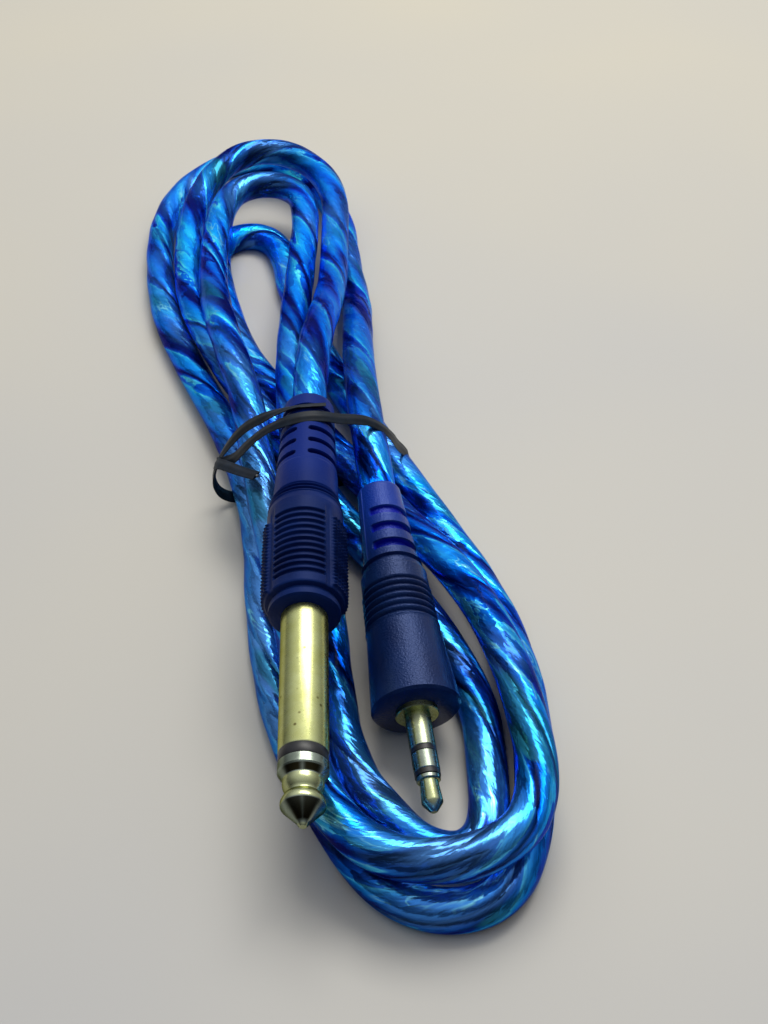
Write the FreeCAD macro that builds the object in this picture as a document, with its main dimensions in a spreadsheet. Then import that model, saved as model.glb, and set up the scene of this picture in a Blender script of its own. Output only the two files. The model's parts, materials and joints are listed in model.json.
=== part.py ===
"""Instrument cable with a 6.35 mm mono plug and a 3.5 mm stereo plug, put away as a tied hank.

The hank lies on the XY plane with its length along Y, its nearer turns at -Y.
The big plug lies on top of the hank and the small plug beside it, both pointing to -Y.
"""
import FreeCAD, Part
import Sketcher
import math
import os
import re

SIZES = {
    # the cord
    "cord_diameter": 5.5,
    "rest_flat": 0.5,
    "cord_fit": 0.05,
    # 6.35 mm plug, lengths counted from the rear of its moulding towards the tip
    "jack_shaft_radius": 3.175,
    "jack_sleeve_length": 22.0,
    "jack_band_length": 1.5,
    "jack_body_length": 42.0,
    "jack_cord_depth": 12.0,
    "jack_wire_bore_radius": 2.3,
    "jack_relief_rear_radius": 3.95,
    "jack_relief_length": 15.3,
    "jack_relief_front_radius": 4.55,
    "jack_collar_length": 5.3,
    "jack_collar_radius": 4.75,
    "jack_shoulder_length": 3.6,
    "jack_grip_radius": 5.45,
    "jack_nose_length": 1.1,
    "jack_nose_inset": 0.4,
    "jack_lip_length": 1.0,
    "jack_neck_length": 1.25,
    "jack_neck_radius": 3.0,
    "jack_fit": 0.05,
    "jack_flange_radius": 3.9,
    "jack_flange_length": 1.0,
    "jack_core_radius": 4.1,
    "jack_core_length": 18.0,
    "jack_core_wall": 1.0,
    "jack_cavity_radius": 3.3,
    "jack_collet_length": 4.0,
    "jack_shank_radius": 2.95,
    "jack_shank_length": 7.0,
    "jack_sleeve_bore_radius": 1.9,
    "jack_rod_radius": 1.0,
    "jack_rivet_radius": 1.4,
    "jack_rivet_length": 0.6,
    "jack_washer_length": 0.8,
    "jack_washer_radius": 2.2,
    "jack_tip_lug_radius": 2.1,
    "jack_sleeve_lug_radius": 2.9,
    "jack_tab_width": 1.6,
    "jack_tip_tab_length": 5.5,
    "jack_tip_tab_height": 1.5,
    "jack_sleeve_tab_length": 7.5,
    "jack_sleeve_tab_height": 2.3,
    "jack_tip_length": 8.5,
    "jack_tip_collar_length": 1.3,
    "jack_tip_waist_radius": 2.55,
    "jack_tip_waist_length": 1.0,
    "jack_tip_neck_radius": 2.1,
    "jack_tip_neck_length": 1.8,
    "jack_tip_ball_radius": 2.85,
    "jack_tip_ball_length": 1.5,
    "jack_tip_end_radius": 0.9,
    "jack_tip_end_length": 0.6,
    "jack_tip_flat_radius": 0.45,
    "jack_slot_width": 1.0,
    "jack_slot_first": 2.85,
    "jack_slot_pitch": 2.65,
    "jack_slot_count": 5,
    "jack_slot_angle": 142.0,
    "jack_slot_heading": 8.0,
    "jack_slot_floor": 0.3,
    "jack_ring_radius": 0.22,
    "jack_ring_first": 0.6,
    "jack_ring_pitch": 0.8,
    "jack_ring_count": 3,
    "jack_rib_groove_width": 0.62,
    "jack_rib_first": 2.4,
    "jack_rib_pitch": 1.14,
    "jack_rib_count": 11,
    "jack_rib_angle": 81.0,
    "jack_rib_depth": 0.5,
    # 3.5 mm plug, lengths counted in the same way
    "mini_shaft_radius": 1.75,
    "mini_band_inset": 0.02,
    "mini_sleeve_length": 5.0,
    "mini_band_length": 0.75,
    "mini_ring_length": 2.6,
    "mini_tip_length": 4.9,
    "mini_tip_collar_radius": 1.6,
    "mini_tip_collar_length": 0.6,
    "mini_tip_neck_radius": 1.2,
    "mini_tip_front_radius": 1.42,
    "mini_tip_point_radius": 0.5,
    "mini_tip_point_length": 1.2,
    "mini_body_length": 38.0,
    "mini_cord_depth": 11.0,
    "mini_wire_bore_radius": 2.2,
    "mini_relief_rear_radius": 3.2,
    "mini_relief_length": 14.2,
    "mini_relief_front_radius": 3.9,
    "mini_neck_length": 2.0,
    "mini_neck_radius": 4.4,
    "mini_band_radius": 4.8,
    "mini_band_width": 2.3,
    "mini_ridge_length": 6.8,
    "mini_body_radius": 5.1,
    "mini_rim_radius": 6.1,
    "mini_rim_bevel": 0.35,
    "mini_front_wall": 1.0,
    "mini_fit": 0.05,
    "mini_flange_radius": 2.95,
    "mini_flange_length": 0.8,
    "mini_core_radius": 3.9,
    "mini_core_length": 17.0,
    "mini_core_wall": 1.0,
    "mini_cavity_radius": 2.9,
    "mini_collet_length": 5.0,
    "mini_shank_radius": 2.4,
    "mini_shank_length": 7.0,
    "mini_tube_fit": 0.02,
    "mini_sleeve_bore_radius": 1.4,
    "mini_ring_bore_radius": 1.0,
    "mini_tip_bore_radius": 0.64,
    "mini_tube_wall": 0.18,
    "mini_step_length": 0.4,
    "mini_step_height": 0.5,
    "mini_rivet_radius": 0.8,
    "mini_rivet_length": 0.4,
    "mini_lug_rim": 0.9,
    "mini_tab_width": 1.2,
    "mini_tip_tab_length": 5.0,
    "mini_tip_tab_height": 1.0,
    "mini_ring_tab_length": 5.5,
    "mini_ring_tab_height": 1.5,
    "mini_sleeve_tab_length": 6.0,
    "mini_sleeve_tab_height": 2.1,
    "mini_slot_width": 1.4,
    "mini_slot_first": 5.05,
    "mini_slot_pitch": 3.2,
    "mini_slot_count": 3,
    "mini_slot_angle": 142.0,
    "mini_slot_floor": 0.3,
    "mini_slot_heading": 58.0,
    "mini_ring_radius": 0.26,
    "mini_ring_first": 0.6,
    "mini_ring_pitch": 1.15,
    "mini_ring_count": 6,
    # soldering lugs, wires and solder inside the plugs
    "lug_thickness": 0.5,
    "core_wire_radius": 0.5,
    "shield_wire_radius": 0.42,
    "wire_gap": 0.05,
    "wire_lap": 1.8,
    "solder_radius": 0.8,
    "solder_length": 2.4,
    # the twist tie
    "tie_width": 2.4,
    "tie_thickness": 0.5,
    "tie_wire_width": 0.5,
    "tie_wire_thickness": 0.26,
    "tie_clearance": 0.3,
    "tie_lean": 27.1,
    "tie_foot": -14.5,
}

doc = FreeCAD.newDocument("instrument_cable")
sheet = doc.addObject("Spreadsheet::Sheet", "Sizes")
for row, (alias, value) in enumerate(SIZES.items(), start=1):
    sheet.set("A%d" % row, alias)
    sheet.set("B%d" % row, "%g" % value)
    sheet.setAlias("B%d" % row, alias)
doc.recompute()

Vector = FreeCAD.Vector
Placement = FreeCAD.Placement
Rotation = FreeCAD.Rotation
UP = Vector(0, 0, 1)
sub_parts = []


def bound(expression):
    """The expression with each alias read from the sheet."""
    return re.sub(r"[a-z]+(?:_[a-z]+)+", lambda alias: "Sizes." + alias.group(0), str(expression))


def size(expression):
    """The value of an expression of sheet aliases."""
    value = sheet.evalExpression(bound(expression))
    return float(getattr(value, "Value", value))


def keep(thing, label, place):
    """Makes an object a sub-part: its label names its file."""
    thing.Label = label
    thing.Placement = place
    sub_parts.append(thing)
    return thing


def plus(*terms):
    return "(" + " + ".join(terms) + ")"


def minus(first, *others):
    return "(" + " - ".join((first,) + others) + ")"


# Round pieces: a half outline turned about the plug's axis

def arc_middle(start, end, radius, side):
    """The middle of the arc from start to end, which swells off the axis (1) or is hollow (-1)."""
    chord = end - start
    sagitta = radius - math.sqrt(radius * radius - chord.Length ** 2 / 4)
    outwards = Vector(chord.y, -chord.x, 0).normalize()
    if outwards.x < 0:
        outwards = outwards * -1
    return (start + end) * 0.5 + outwards * (sagitta * side)


def outline_sketch(body, name, outline):
    """A closed half outline of (height, radius) corners.

    (height, radius, side, bend) is a corner reached by an arc of the radius bend.
    """
    sketch = body.newObject("Sketcher::SketchObject", name)
    plane = [f for f in body.Origin.OriginFeatures if f.Role == "XZ_Plane"][0]
    sketch.AttachmentSupport = (plane, [""])
    sketch.MapMode = "FlatFace"
    corners = [Vector(size(corner[1]), size(corner[0]), 0) for corner in outline]
    ends = []
    for i, start in enumerate(corners):
        following = (i + 1) % len(corners)
        end = corners[following]
        arc = outline[following][2:]
        if arc:
            middle = arc_middle(start, end, size(arc[1]), arc[0])
            edge = sketch.addGeometry(Part.Arc(start, middle, end), False)
            number = sketch.addConstraint(Sketcher.Constraint("Radius", edge, size(arc[1])))
            sketch.setExpression("Constraints[%d]" % number, bound(arc[1]))
        else:
            edge = sketch.addGeometry(Part.LineSegment(start, end), False)
        forward = sketch.getPoint(edge, 1).distanceToPoint(start) < 1e-6
        ends.append((1, 2) if forward else (2, 1))
    for i in range(len(corners)):
        following = (i + 1) % len(corners)
        meeting = Sketcher.Constraint("Coincident", i, ends[i][1], following, ends[following][0])
        sketch.addConstraint(meeting)
    for i, corner in enumerate(outline):
        for kind, axis, expression in (("DistanceX", -2, corner[1]), ("DistanceY", -1, corner[0])):
            value = size(expression)
            if value == 0:
                sketch.addConstraint(Sketcher.Constraint("PointOnObject", i, ends[i][0], axis))
            else:
                constraint = Sketcher.Constraint(kind, -1, 1, i, ends[i][0], value)
                number = sketch.addConstraint(constraint)
                sketch.setExpression("Constraints[%d]" % number, bound(expression))
    return sketch


def turned(name, outline):
    """A body turned from its half outline."""
    body = doc.addObject("PartDesign::Body", name)
    sketch = outline_sketch(body, name + "_outline", outline)
    spin = body.newObject("PartDesign::Revolution", name + "_spin")
    spin.Profile = sketch
    spin.ReferenceAxis = (sketch, ["V_Axis"])
    spin.Angle = 360
    return body


# Pieces made of primitives

def primitive(kind, name, at=("0", "0", "0"), turn=0.0, **sizes):
    """A Part primitive at a place given by expressions, turned about the axis."""
    thing = doc.addObject("Part::" + kind, name)
    thing.Placement = Placement(Vector(*(size(place) for place in at)), Rotation(UP, turn))
    for key, expression in sizes.items():
        thing.setExpression(key, bound(expression))
    return thing


def joined(name, pieces):
    thing = doc.addObject("Part::MultiFuse", name)
    thing.Shapes = pieces
    return thing


def cut(name, base, tool):
    thing = doc.addObject("Part::Cut", name)
    thing.Base = base
    thing.Tool = tool
    return thing


def sector_grooves(name, first, pitch, count, width, angle, headings, outside, floor):
    """A cutter for rows of grooves round the axis, each centred on a heading in degrees."""
    sectors = []
    for row in range(int(size(count))):
        start = plus(first, "%d * %s" % (row, pitch))
        for heading in headings:
            turn = heading - size(angle) / 2
            label = "%s_%d_%d" % (name, row, round(heading))
            sectors.append(primitive("Cylinder", label, ("0", "0", start), turn,
                                     Radius=outside, Height=width, Angle=angle))
    reach = plus(first, "%s * %s" % (count, pitch))
    core = primitive("Cylinder", name + "_floor", Radius=floor, Height=reach)
    return cut(name, joined(name + "_sectors", sectors), core)


def ring_grooves(name, first, pitch, count, surface, bead):
    """Cutters for fine round grooves, on the surface radius given at the first and the last."""
    rings = []
    number = int(size(count))
    for row in range(number):
        share = row / max(number - 1, 1)
        radius = "(%s + (%s - %s) * %.6f)" % (surface[0], surface[1], surface[0], share)
        place = ("0", "0", plus(first, "%d * %s" % (row, pitch)))
        label = "%s_%d" % (name, row)
        rings.append(primitive("Torus", label, place, Radius1=radius, Radius2=bead))
    return rings


def lug(name, bore, radius, start, tab_length, tab_width, tab_height, turn=0.0):
    """A soldering lug: a sheet ring on the axis with a tab bent to the rear, above it at turn 0."""
    disc = primitive("Cylinder", name + "_disc", ("0", "0", start),
                     Radius=radius, Height="lug_thickness")
    hole = primitive("Cylinder", name + "_hole", ("0", "0", start),
                     Radius=bore, Height="lug_thickness")
    ring = cut(name + "_ring", disc, hole)
    rear = minus(plus(start, "lug_thickness"), tab_length)
    tab = primitive("Box", name + "_tab", Length=tab_width, Width="lug_thickness", Height=tab_length)
    corner = Vector(-size(tab_width) / 2, size(tab_height), size(rear))
    tab.Placement = Placement(Vector(), Rotation(UP, turn)).multiply(Placement(corner, Rotation()))
    return joined(name, [ring, tab])


def wire(name, radius, height, start, end):
    """A straight stripped wire along the axis, at a height above it."""
    length = minus(end, start)
    return primitive("Cylinder", name, ("0", height, start), Radius=radius, Height=length)


def solder(name, height, end, wire_radius, tab_start, tab_width, tab_height, side):
    """A bead of solder on a wire's end, moulded to the wire and to the tab that it lies on."""
    middle = minus(end, "solder_length / 5")
    bead = primitive("Ellipsoid", name + "_bead", ("0", height, middle),
                     Radius1="solder_length / 2", Radius2="solder_radius", Radius3="solder_radius",
                     Angle1="-90", Angle2="90", Angle3="360")
    start = minus(middle, "solder_length")
    core = primitive("Cylinder", name + "_core", ("0", height, start),
                     Radius=wire_radius, Height=minus(end, start))
    inner = tab_height if side > 0 else "-(%s) - solder_length" % tab_height
    tab = primitive("Box", name + "_seat", ("-(%s)" % tab_width, inner, tab_start),
                    Length="2 * " + tab_width, Width="solder_length", Height="3 * solder_length")
    return cut(name, bead, joined(name + "_room", [core, tab]))


# The cord's route: control points chosen by hand along the hank, in mm

CORD_RADIUS = size("cord_diameter / 2")
LOW = CORD_RADIUS - size("rest_flat")
ROWS = (36.2, 14.2, -6.8, -27.8, -46.8, -64.8)
STRANDS = {   # (x, z) at the rows, from the far end to the near end
    "outer_left": ((-31.4, LOW), (-23.4, LOW), (-15.0, 3.8), (-8.6, 3.4), (-6.0, LOW), (-2.6, LOW)),
    "middle": ((-25.2, 5.6), (-17.4, 5.8), (-4.2, 4.8), (6.2, 3.1), (18.8, LOW), (26.4, LOW)),
    "to_the_right": ((-18.4, LOW), (-11.6, LOW), (2.6, 2.9), (14.4, 4.4), (25.0, 8.3), (31.8, 8.6)),
    "outer_right": ((-0.8, LOW), (6.4, LOW), (12.4, 3.7), (22.1, 3.3), (30.2, LOW), (33.6, LOW)),
    "top_left": ((-19.2, 8.9), (-15.4, 12.0), (-9.2, 11.0), (-6.4, 9.4), (-2.2, 7.2), (1.5, 6.7)),
    "top_right": ((-3.5, 8.8), (-4.0, 9.2), (-2.8, 11.0), (0.4, 9.3), (4.6, 2.8), (5.8, LOW)),
}
TURNS = {   # left x and base y, apex x and y, right x and base y, z at the left, apex and right
    "far_upper": (-28.6, 60.2, -12.3, 89.6, 3.1, 60.2, 6.6, 9.2, 8.8),
    "far_lower": (-35.2, 66.2, -16.8, 98.2, 4.6, 54.2, LOW, LOW, LOW),
    "far_upper_inner": (-20.4, 62.7, -12.2, 72.2, -3.8, 62.7, 8.8, 9.2, 9.2),
    "far_lower_inner": (-22.0, 52.2, -14.2, 61.6, -6.6, 53.2, LOW, LOW, LOW),
    "near_inner": (6.0, -65.8, 22.1, -89.2, 27.5, -78.8, LOW, LOW, LOW),
    "near_lower": (-1.2, -62.8, 22.2, -98.2, 33.9, -73.8, LOW, LOW, LOW),
    "near_upper": (3.6, -75.8, 18.2, -95.0, 33.2, -78.8, 7.9, 8.6, 8.6),
}
JACK_REAR = Vector(1.9, -20.5, 18.8)
JACK_WAY = Vector(0.0195, -0.9971, -0.0660).normalize()
MINI_FRONT = Vector(17.55, -70.69, 6.54)
MINI_WAY = Vector(0.1355, -0.9757, -0.1700).normalize()
MINI_REAR = MINI_FRONT - MINI_WAY * size("mini_body_length")   # its pin stays behind the turns
LEAVING = 11.5        # the first control point behind a plug
FROM_JACK = ((2.0, 3.2, 18.2), (2.4, 16.2, 14.2), (2.8, 30.2, 10.7), (2.9, 46.2, 8.9))
TO_MINI = ((6.4, 48.2, 2.3), (7.9, 34.2, 3.3), (8.3, 20.7, 7.6), (8.6, 7.2, 10.6), (9.4, -6.8, 13.4))
ROUND = 0.4142        # share of a turn's side at which a quarter arc has its control point


def strand(name, way):
    """A strand's control points, towards the near end (1) or the far end (-1)."""
    return [Vector(x, y, z) for y, (x, z) in zip(ROWS, STRANDS[name])][::way]


def turn(name, way):
    """A turn's four control points, from its left (1) or from its right (-1)."""
    left, left_base, apex, reach, right, right_base, left_z, apex_z, right_z = TURNS[name]
    return [Vector(left, left_base + ROUND * (reach - left_base), left_z),
            Vector(apex - ROUND * (apex - left), reach, apex_z),
            Vector(apex + ROUND * (right - apex), reach, apex_z),
            Vector(right, right_base + ROUND * (reach - right_base), right_z)][::way]


LAY = (
    (turn, "far_upper", -1), (strand, "middle", 1), (turn, "near_inner", -1),
    (strand, "top_right", -1), (turn, "far_upper_inner", -1), (strand, "top_left", 1),
    (turn, "near_upper", 1), (strand, "to_the_right", -1), (turn, "far_lower_inner", 1),
    (strand, "outer_right", 1), (turn, "near_lower", -1), (strand, "outer_left", -1),
    (turn, "far_lower", 1),
)


def cord_route():
    """The control points, and the numbers of the legs inside a turn's two quarter arcs."""
    points = [JACK_REAR + JACK_WAY * size("jack_cord_depth"), JACK_REAR,
              JACK_REAR - JACK_WAY * LEAVING]
    points += [Vector(*point) for point in FROM_JACK]
    inside = set()
    for make, name, way in LAY:
        if make is turn:
            inside |= {len(points), len(points) + 2}
        points += make(name, way)
    points += [Vector(*point) for point in TO_MINI]
    points += [MINI_REAR - MINI_WAY * LEAVING, MINI_REAR,
               MINI_REAR + MINI_WAY * size("mini_cord_depth")]
    return points, inside


def biarc(start, start_way, end, end_way):
    """Two arcs from start to end, tangent to both ways and to each other: (start, corner, end)."""
    chord = end - start
    along = chord.dot(start_way + end_way)
    spread = 2 * (1 - start_way.dot(end_way))
    if spread < 1e-9:
        reach = chord.dot(chord) / (4 * chord.dot(end_way))
    else:
        reach = (math.sqrt(along * along + spread * chord.dot(chord)) - along) / spread
    middle = (start + end + (start_way - end_way) * reach) * 0.5
    return (start, start + start_way * reach, middle), (middle, end - end_way * reach, end)


def arc_edge(start, corner, end):
    """The arc that leaves start towards the corner and comes from it to the end, with its radius."""
    before = corner - start
    after = end - corner
    cosine = before.dot(after) / (before.Length * after.Length)
    half = math.acos(max(-1.0, min(1.0, cosine))) / 2
    if half < 1e-4:
        return Part.LineSegment(start, end).toShape(), math.inf
    middle = corner + ((start + end) * 0.5 - corner) * (1 / (1 + math.cos(half)))
    return Part.Arc(start, middle, end).toShape(), before.Length / math.tan(half)


def cord_path():
    """The tube's centre line and its radii: half a leg straight at each end, biarcs between."""
    points, inside = cord_route()
    stations = []
    for i, (start, end) in enumerate(zip(points, points[1:])):
        if i not in inside:
            stations.append(((start + end) * 0.5, (end - start).normalize()))
    edges = [Part.LineSegment(points[0], stations[0][0]).toShape()]
    radii = []
    for (start, start_way), (end, end_way) in zip(stations, stations[1:]):
        for corners in biarc(start, start_way, end, end_way):
            edge, radius = arc_edge(*corners)
            edges.append(edge)
            radii.append(radius)
    edges.append(Part.LineSegment(stations[-1][0], points[-1]).toShape())
    return Part.Wire(edges), radii


def least_gap(path):
    """The least clear space between the tube and itself, measured on points 1 mm apart."""
    points = [edge.valueAt(edge.FirstParameter + (edge.LastParameter - edge.FirstParameter) * i / n)
              for edge in path.Edges for n in [max(1, round(edge.Length))] for i in range(n)]
    step = path.Length / len(points)
    apart = int(4 * size("cord_diameter") / step)
    rows = [(point.x, point.y, point.z) for point in points]
    least = min((a[0] - b[0]) ** 2 + (a[1] - b[1]) ** 2 + (a[2] - b[2]) ** 2
                for i, a in enumerate(rows) for b in rows[i + apart:])
    return math.sqrt(least) - size("cord_diameter")


def cable_hank():
    """The whole cord as one tube with its loops, cut flat where it lies on the table."""
    path, radii = cord_path()
    first = path.Edges[0]
    circle = Part.Circle(first.valueAt(first.FirstParameter), JACK_WAY, CORD_RADIUS)
    tube = path.makePipeShell([Part.Wire([circle.toShape()])], True, False)
    section = math.pi * CORD_RADIUS ** 2
    print("cord length %.1f mm, %d arcs" % (path.Length, len(radii)))
    print("cord radii, tightest first:", ["%.1f" % radius for radius in sorted(radii)[:12]])
    print("cord least gap to itself %.2f mm" % least_gap(path))
    print("tube volume %.0f, section times length %.0f" % (tube.Volume, section * path.Length))
    whole = doc.addObject("Part::Feature", "cord_tube")
    whole.Shape = tube
    box = tube.BoundBox
    margin = size("cord_diameter")
    room = doc.addObject("Part::Box", "room_above_the_table")
    room.Length = box.XLength + 2 * margin
    room.Width = box.YLength + 2 * margin
    room.Height = box.ZMax + margin
    room.Placement = Placement(Vector(box.XMin - margin, box.YMin - margin, 0), Rotation())
    resting = doc.addObject("Part::Common", "cable")
    resting.Base = whole
    resting.Tool = room
    keep(resting, "cable_hank", Placement())


cable_hank()

# The 6.35 mm plug, built on its own axis with its height towards the tip

JACK = Placement(JACK_REAR, Rotation(Vector(), UP, JACK_WAY, "ZYX"))
CORD_BORE = plus("cord_diameter / 2", "cord_fit")
JACK_LIP_REAR = minus("jack_body_length", "jack_lip_length")
JACK_CORE_FRONT = minus(JACK_LIP_REAR, "jack_flange_length")
JACK_CORE_REAR = minus(JACK_CORE_FRONT, "jack_core_length")
JACK_SHANK_REAR = minus(JACK_CORE_FRONT, "jack_shank_length")
JACK_SLEEVE_LUG_REAR = minus(JACK_SHANK_REAR, "lug_thickness")
JACK_WASHER_REAR = minus(JACK_SLEEVE_LUG_REAR, "jack_washer_length")
JACK_TIP_LUG_REAR = minus(JACK_WASHER_REAR, "lug_thickness")
JACK_ROD_REAR = minus(JACK_TIP_LUG_REAR, "jack_rivet_length")
JACK_SLEEVE_FRONT = plus("jack_body_length", "jack_sleeve_length")
JACK_TIP_REAR = plus(JACK_SLEEVE_FRONT, "jack_band_length")
JACK_TIP_FRONT = plus(JACK_TIP_REAR, "jack_tip_length")


def jack_overmould():
    """The soft moulding: slotted strain relief, collar, ringed shoulder, ribbed grip and nose."""
    hole = plus("jack_neck_radius", "jack_fit")
    seat = plus("jack_flange_radius", "jack_fit")
    cavity = plus("jack_core_radius", "jack_fit")
    shoulder_rear = plus("jack_relief_length", "jack_collar_length")
    grip_rear = plus(shoulder_rear, "jack_shoulder_length")
    nose_rear = minus("jack_body_length", "jack_nose_length")
    nose = minus("jack_grip_radius", "jack_nose_inset")
    body = turned("jack_overmould_blank", (
        ("0", CORD_BORE), ("0", "jack_relief_rear_radius"),
        ("jack_relief_length", "jack_relief_front_radius"),
        (shoulder_rear, "jack_collar_radius"), (grip_rear, "jack_grip_radius"),
        (nose_rear, "jack_grip_radius"), (nose_rear, nose), ("jack_body_length", nose),
        ("jack_body_length", hole), (JACK_LIP_REAR, hole), (JACK_LIP_REAR, seat),
        (JACK_CORE_FRONT, seat), (JACK_CORE_FRONT, cavity), (JACK_CORE_REAR, cavity),
        (JACK_CORE_REAR, "jack_wire_bore_radius"), ("jack_cord_depth", "jack_wire_bore_radius"),
        ("jack_cord_depth", CORD_BORE)))
    outside = plus("jack_grip_radius", "jack_rib_depth")
    slots = sector_grooves("jack_slots", "jack_slot_first", "jack_slot_pitch", "jack_slot_count",
                           "jack_slot_width", "jack_slot_angle",
                           (size("jack_slot_heading"), size("jack_slot_heading") + 180), outside,
                           plus(CORD_BORE, "jack_slot_floor"))
    ribs = sector_grooves("jack_ribs", plus(grip_rear, "jack_rib_first"), "jack_rib_pitch",
                          "jack_rib_count", "jack_rib_groove_width", "jack_rib_angle",
                          (size("jack_slot_heading") + 90,),
                          outside, minus("jack_grip_radius", "jack_rib_depth"))
    rings = ring_grooves("jack_ring", plus(shoulder_rear, "jack_ring_first"), "jack_ring_pitch",
                         "jack_ring_count", ("jack_collar_radius", "jack_grip_radius"),
                         "jack_ring_radius")
    cutters = joined("jack_overmould_cuts", [slots, ribs] + rings)
    keep(cut("jack_overmould_cut", body, cutters), "jack_overmould", JACK)


def jack_pin():
    """The pin: sleeve, insulator and tip in one another, riveted behind the lugs and washer."""
    neck_front = plus(JACK_LIP_REAR, "jack_neck_length")
    keep(turned("jack_sleeve_turned", (
        (JACK_SHANK_REAR, "jack_sleeve_bore_radius"), (JACK_SHANK_REAR, "jack_shank_radius"),
        (JACK_CORE_FRONT, "jack_shank_radius"), (JACK_CORE_FRONT, "jack_flange_radius"),
        (JACK_LIP_REAR, "jack_flange_radius"), (JACK_LIP_REAR, "jack_neck_radius"),
        (neck_front, "jack_neck_radius"), (neck_front, "jack_shaft_radius"),
        (JACK_SLEEVE_FRONT, "jack_shaft_radius"),
        (JACK_SLEEVE_FRONT, "jack_sleeve_bore_radius"))), "jack_sleeve", JACK)
    tube = minus("jack_sleeve_bore_radius", "jack_fit")
    bore = plus("jack_rod_radius", "jack_fit")
    keep(turned("jack_insulator_turned", (
        (JACK_SLEEVE_LUG_REAR, bore), (JACK_SLEEVE_LUG_REAR, tube), (JACK_SLEEVE_FRONT, tube),
        (JACK_SLEEVE_FRONT, "jack_shaft_radius"), (JACK_TIP_REAR, "jack_shaft_radius"),
        (JACK_TIP_REAR, bore))), "jack_insulator", JACK)
    collar_front = plus(JACK_TIP_REAR, "jack_tip_collar_length")
    waist_rear = plus(collar_front, "jack_tip_waist_length")
    groove_front = plus(waist_rear, "jack_tip_neck_length")
    ball_front = plus(groove_front, "jack_tip_ball_length")
    end_rear = minus(JACK_TIP_FRONT, "jack_tip_end_length")
    keep(turned("jack_tip_turned", (
        (JACK_ROD_REAR, "0"), (JACK_ROD_REAR, "jack_rivet_radius"),
        (JACK_TIP_LUG_REAR, "jack_rivet_radius"), (JACK_TIP_LUG_REAR, "jack_rod_radius"),
        (JACK_TIP_REAR, "jack_rod_radius"), (JACK_TIP_REAR, "jack_shaft_radius"),
        (collar_front, "jack_shaft_radius"),
        (waist_rear, "jack_tip_waist_radius"),
        (groove_front, "jack_tip_neck_radius", 1, "1.5 * jack_tip_neck_length"),
        (ball_front, "jack_tip_ball_radius", 1, "1.2 * jack_tip_ball_length"),
        (end_rear, "jack_tip_end_radius"),
        (JACK_TIP_FRONT, "jack_tip_flat_radius", 1, "1.2 * jack_tip_end_radius"),
        (JACK_TIP_FRONT, "0"))), "jack_tip", JACK)
    keep(turned("jack_washer_turned", (
        (JACK_WASHER_REAR, bore), (JACK_WASHER_REAR, "jack_washer_radius"),
        (JACK_SLEEVE_LUG_REAR, "jack_washer_radius"), (JACK_SLEEVE_LUG_REAR, bore))),
        "jack_rear_washer", JACK)


def jack_core():
    """The hard inner moulding behind the soft one: a cup round the lugs and the solder."""
    front_bore = plus("jack_shank_radius", "jack_fit")
    collet_rear = minus(JACK_CORE_FRONT, "jack_collet_length")
    floor = plus(JACK_CORE_REAR, "jack_core_wall")
    keep(turned("jack_core_turned", (
        (JACK_CORE_REAR, "jack_wire_bore_radius"), (JACK_CORE_REAR, "jack_core_radius"),
        (JACK_CORE_FRONT, "jack_core_radius"), (JACK_CORE_FRONT, front_bore),
        (collet_rear, front_bore), (collet_rear, "jack_cavity_radius"),
        (floor, "jack_cavity_radius"), (floor, "jack_wire_bore_radius"))),
        "jack_inner_mould", JACK)


def jack_wiring():
    """Lugs on the rod and on the sleeve, the two wires from the cord and their solder."""
    tip_tab_rear = minus(plus(JACK_TIP_LUG_REAR, "lug_thickness"), "jack_tip_tab_length")
    sleeve_tab_rear = minus(JACK_SHANK_REAR, "jack_sleeve_tab_length")
    bore = plus("jack_rod_radius", "jack_fit")
    keep(lug("jack_tip_lug_sheet", bore, "jack_tip_lug_radius", JACK_TIP_LUG_REAR,
             "jack_tip_tab_length", "jack_tab_width", "jack_tip_tab_height"),
         "jack_tip_lug", JACK)
    keep(lug("jack_sleeve_lug_sheet", "jack_sleeve_bore_radius", "jack_sleeve_lug_radius",
             JACK_SLEEVE_LUG_REAR, "jack_sleeve_tab_length", "jack_tab_width",
             "jack_sleeve_tab_height", 180), "jack_sleeve_lug", JACK)
    high = minus("jack_tip_tab_height", "core_wire_radius", "wire_gap")
    deep = "-" + minus("jack_sleeve_tab_height", "shield_wire_radius", "wire_gap")
    for label, radius, height, tab_rear, tab_height, side in (
            ("jack_signal", "core_wire_radius", high, tip_tab_rear, "jack_tip_tab_height", 1),
            ("jack_ground", "shield_wire_radius", deep, sleeve_tab_rear,
             "jack_sleeve_tab_height", -1)):
        end = plus(tab_rear, "wire_lap")
        placed(wire(label + "_core", radius, height, "jack_cord_depth", end),
               label + "_wire", JACK)
        keep(solder(label + "_drop", height, end, radius, tab_rear, "jack_tab_width",
                    tab_height, side), label + "_solder", JACK)


def placed(thing, label, frame):
    """Keeps a primitive that already has a place on the plug's own axis."""
    return keep(thing, label, frame.multiply(thing.Placement))


jack_overmould()
jack_pin()
jack_core()
jack_wiring()

# The 3.5 mm plug, built in the same way

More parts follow.
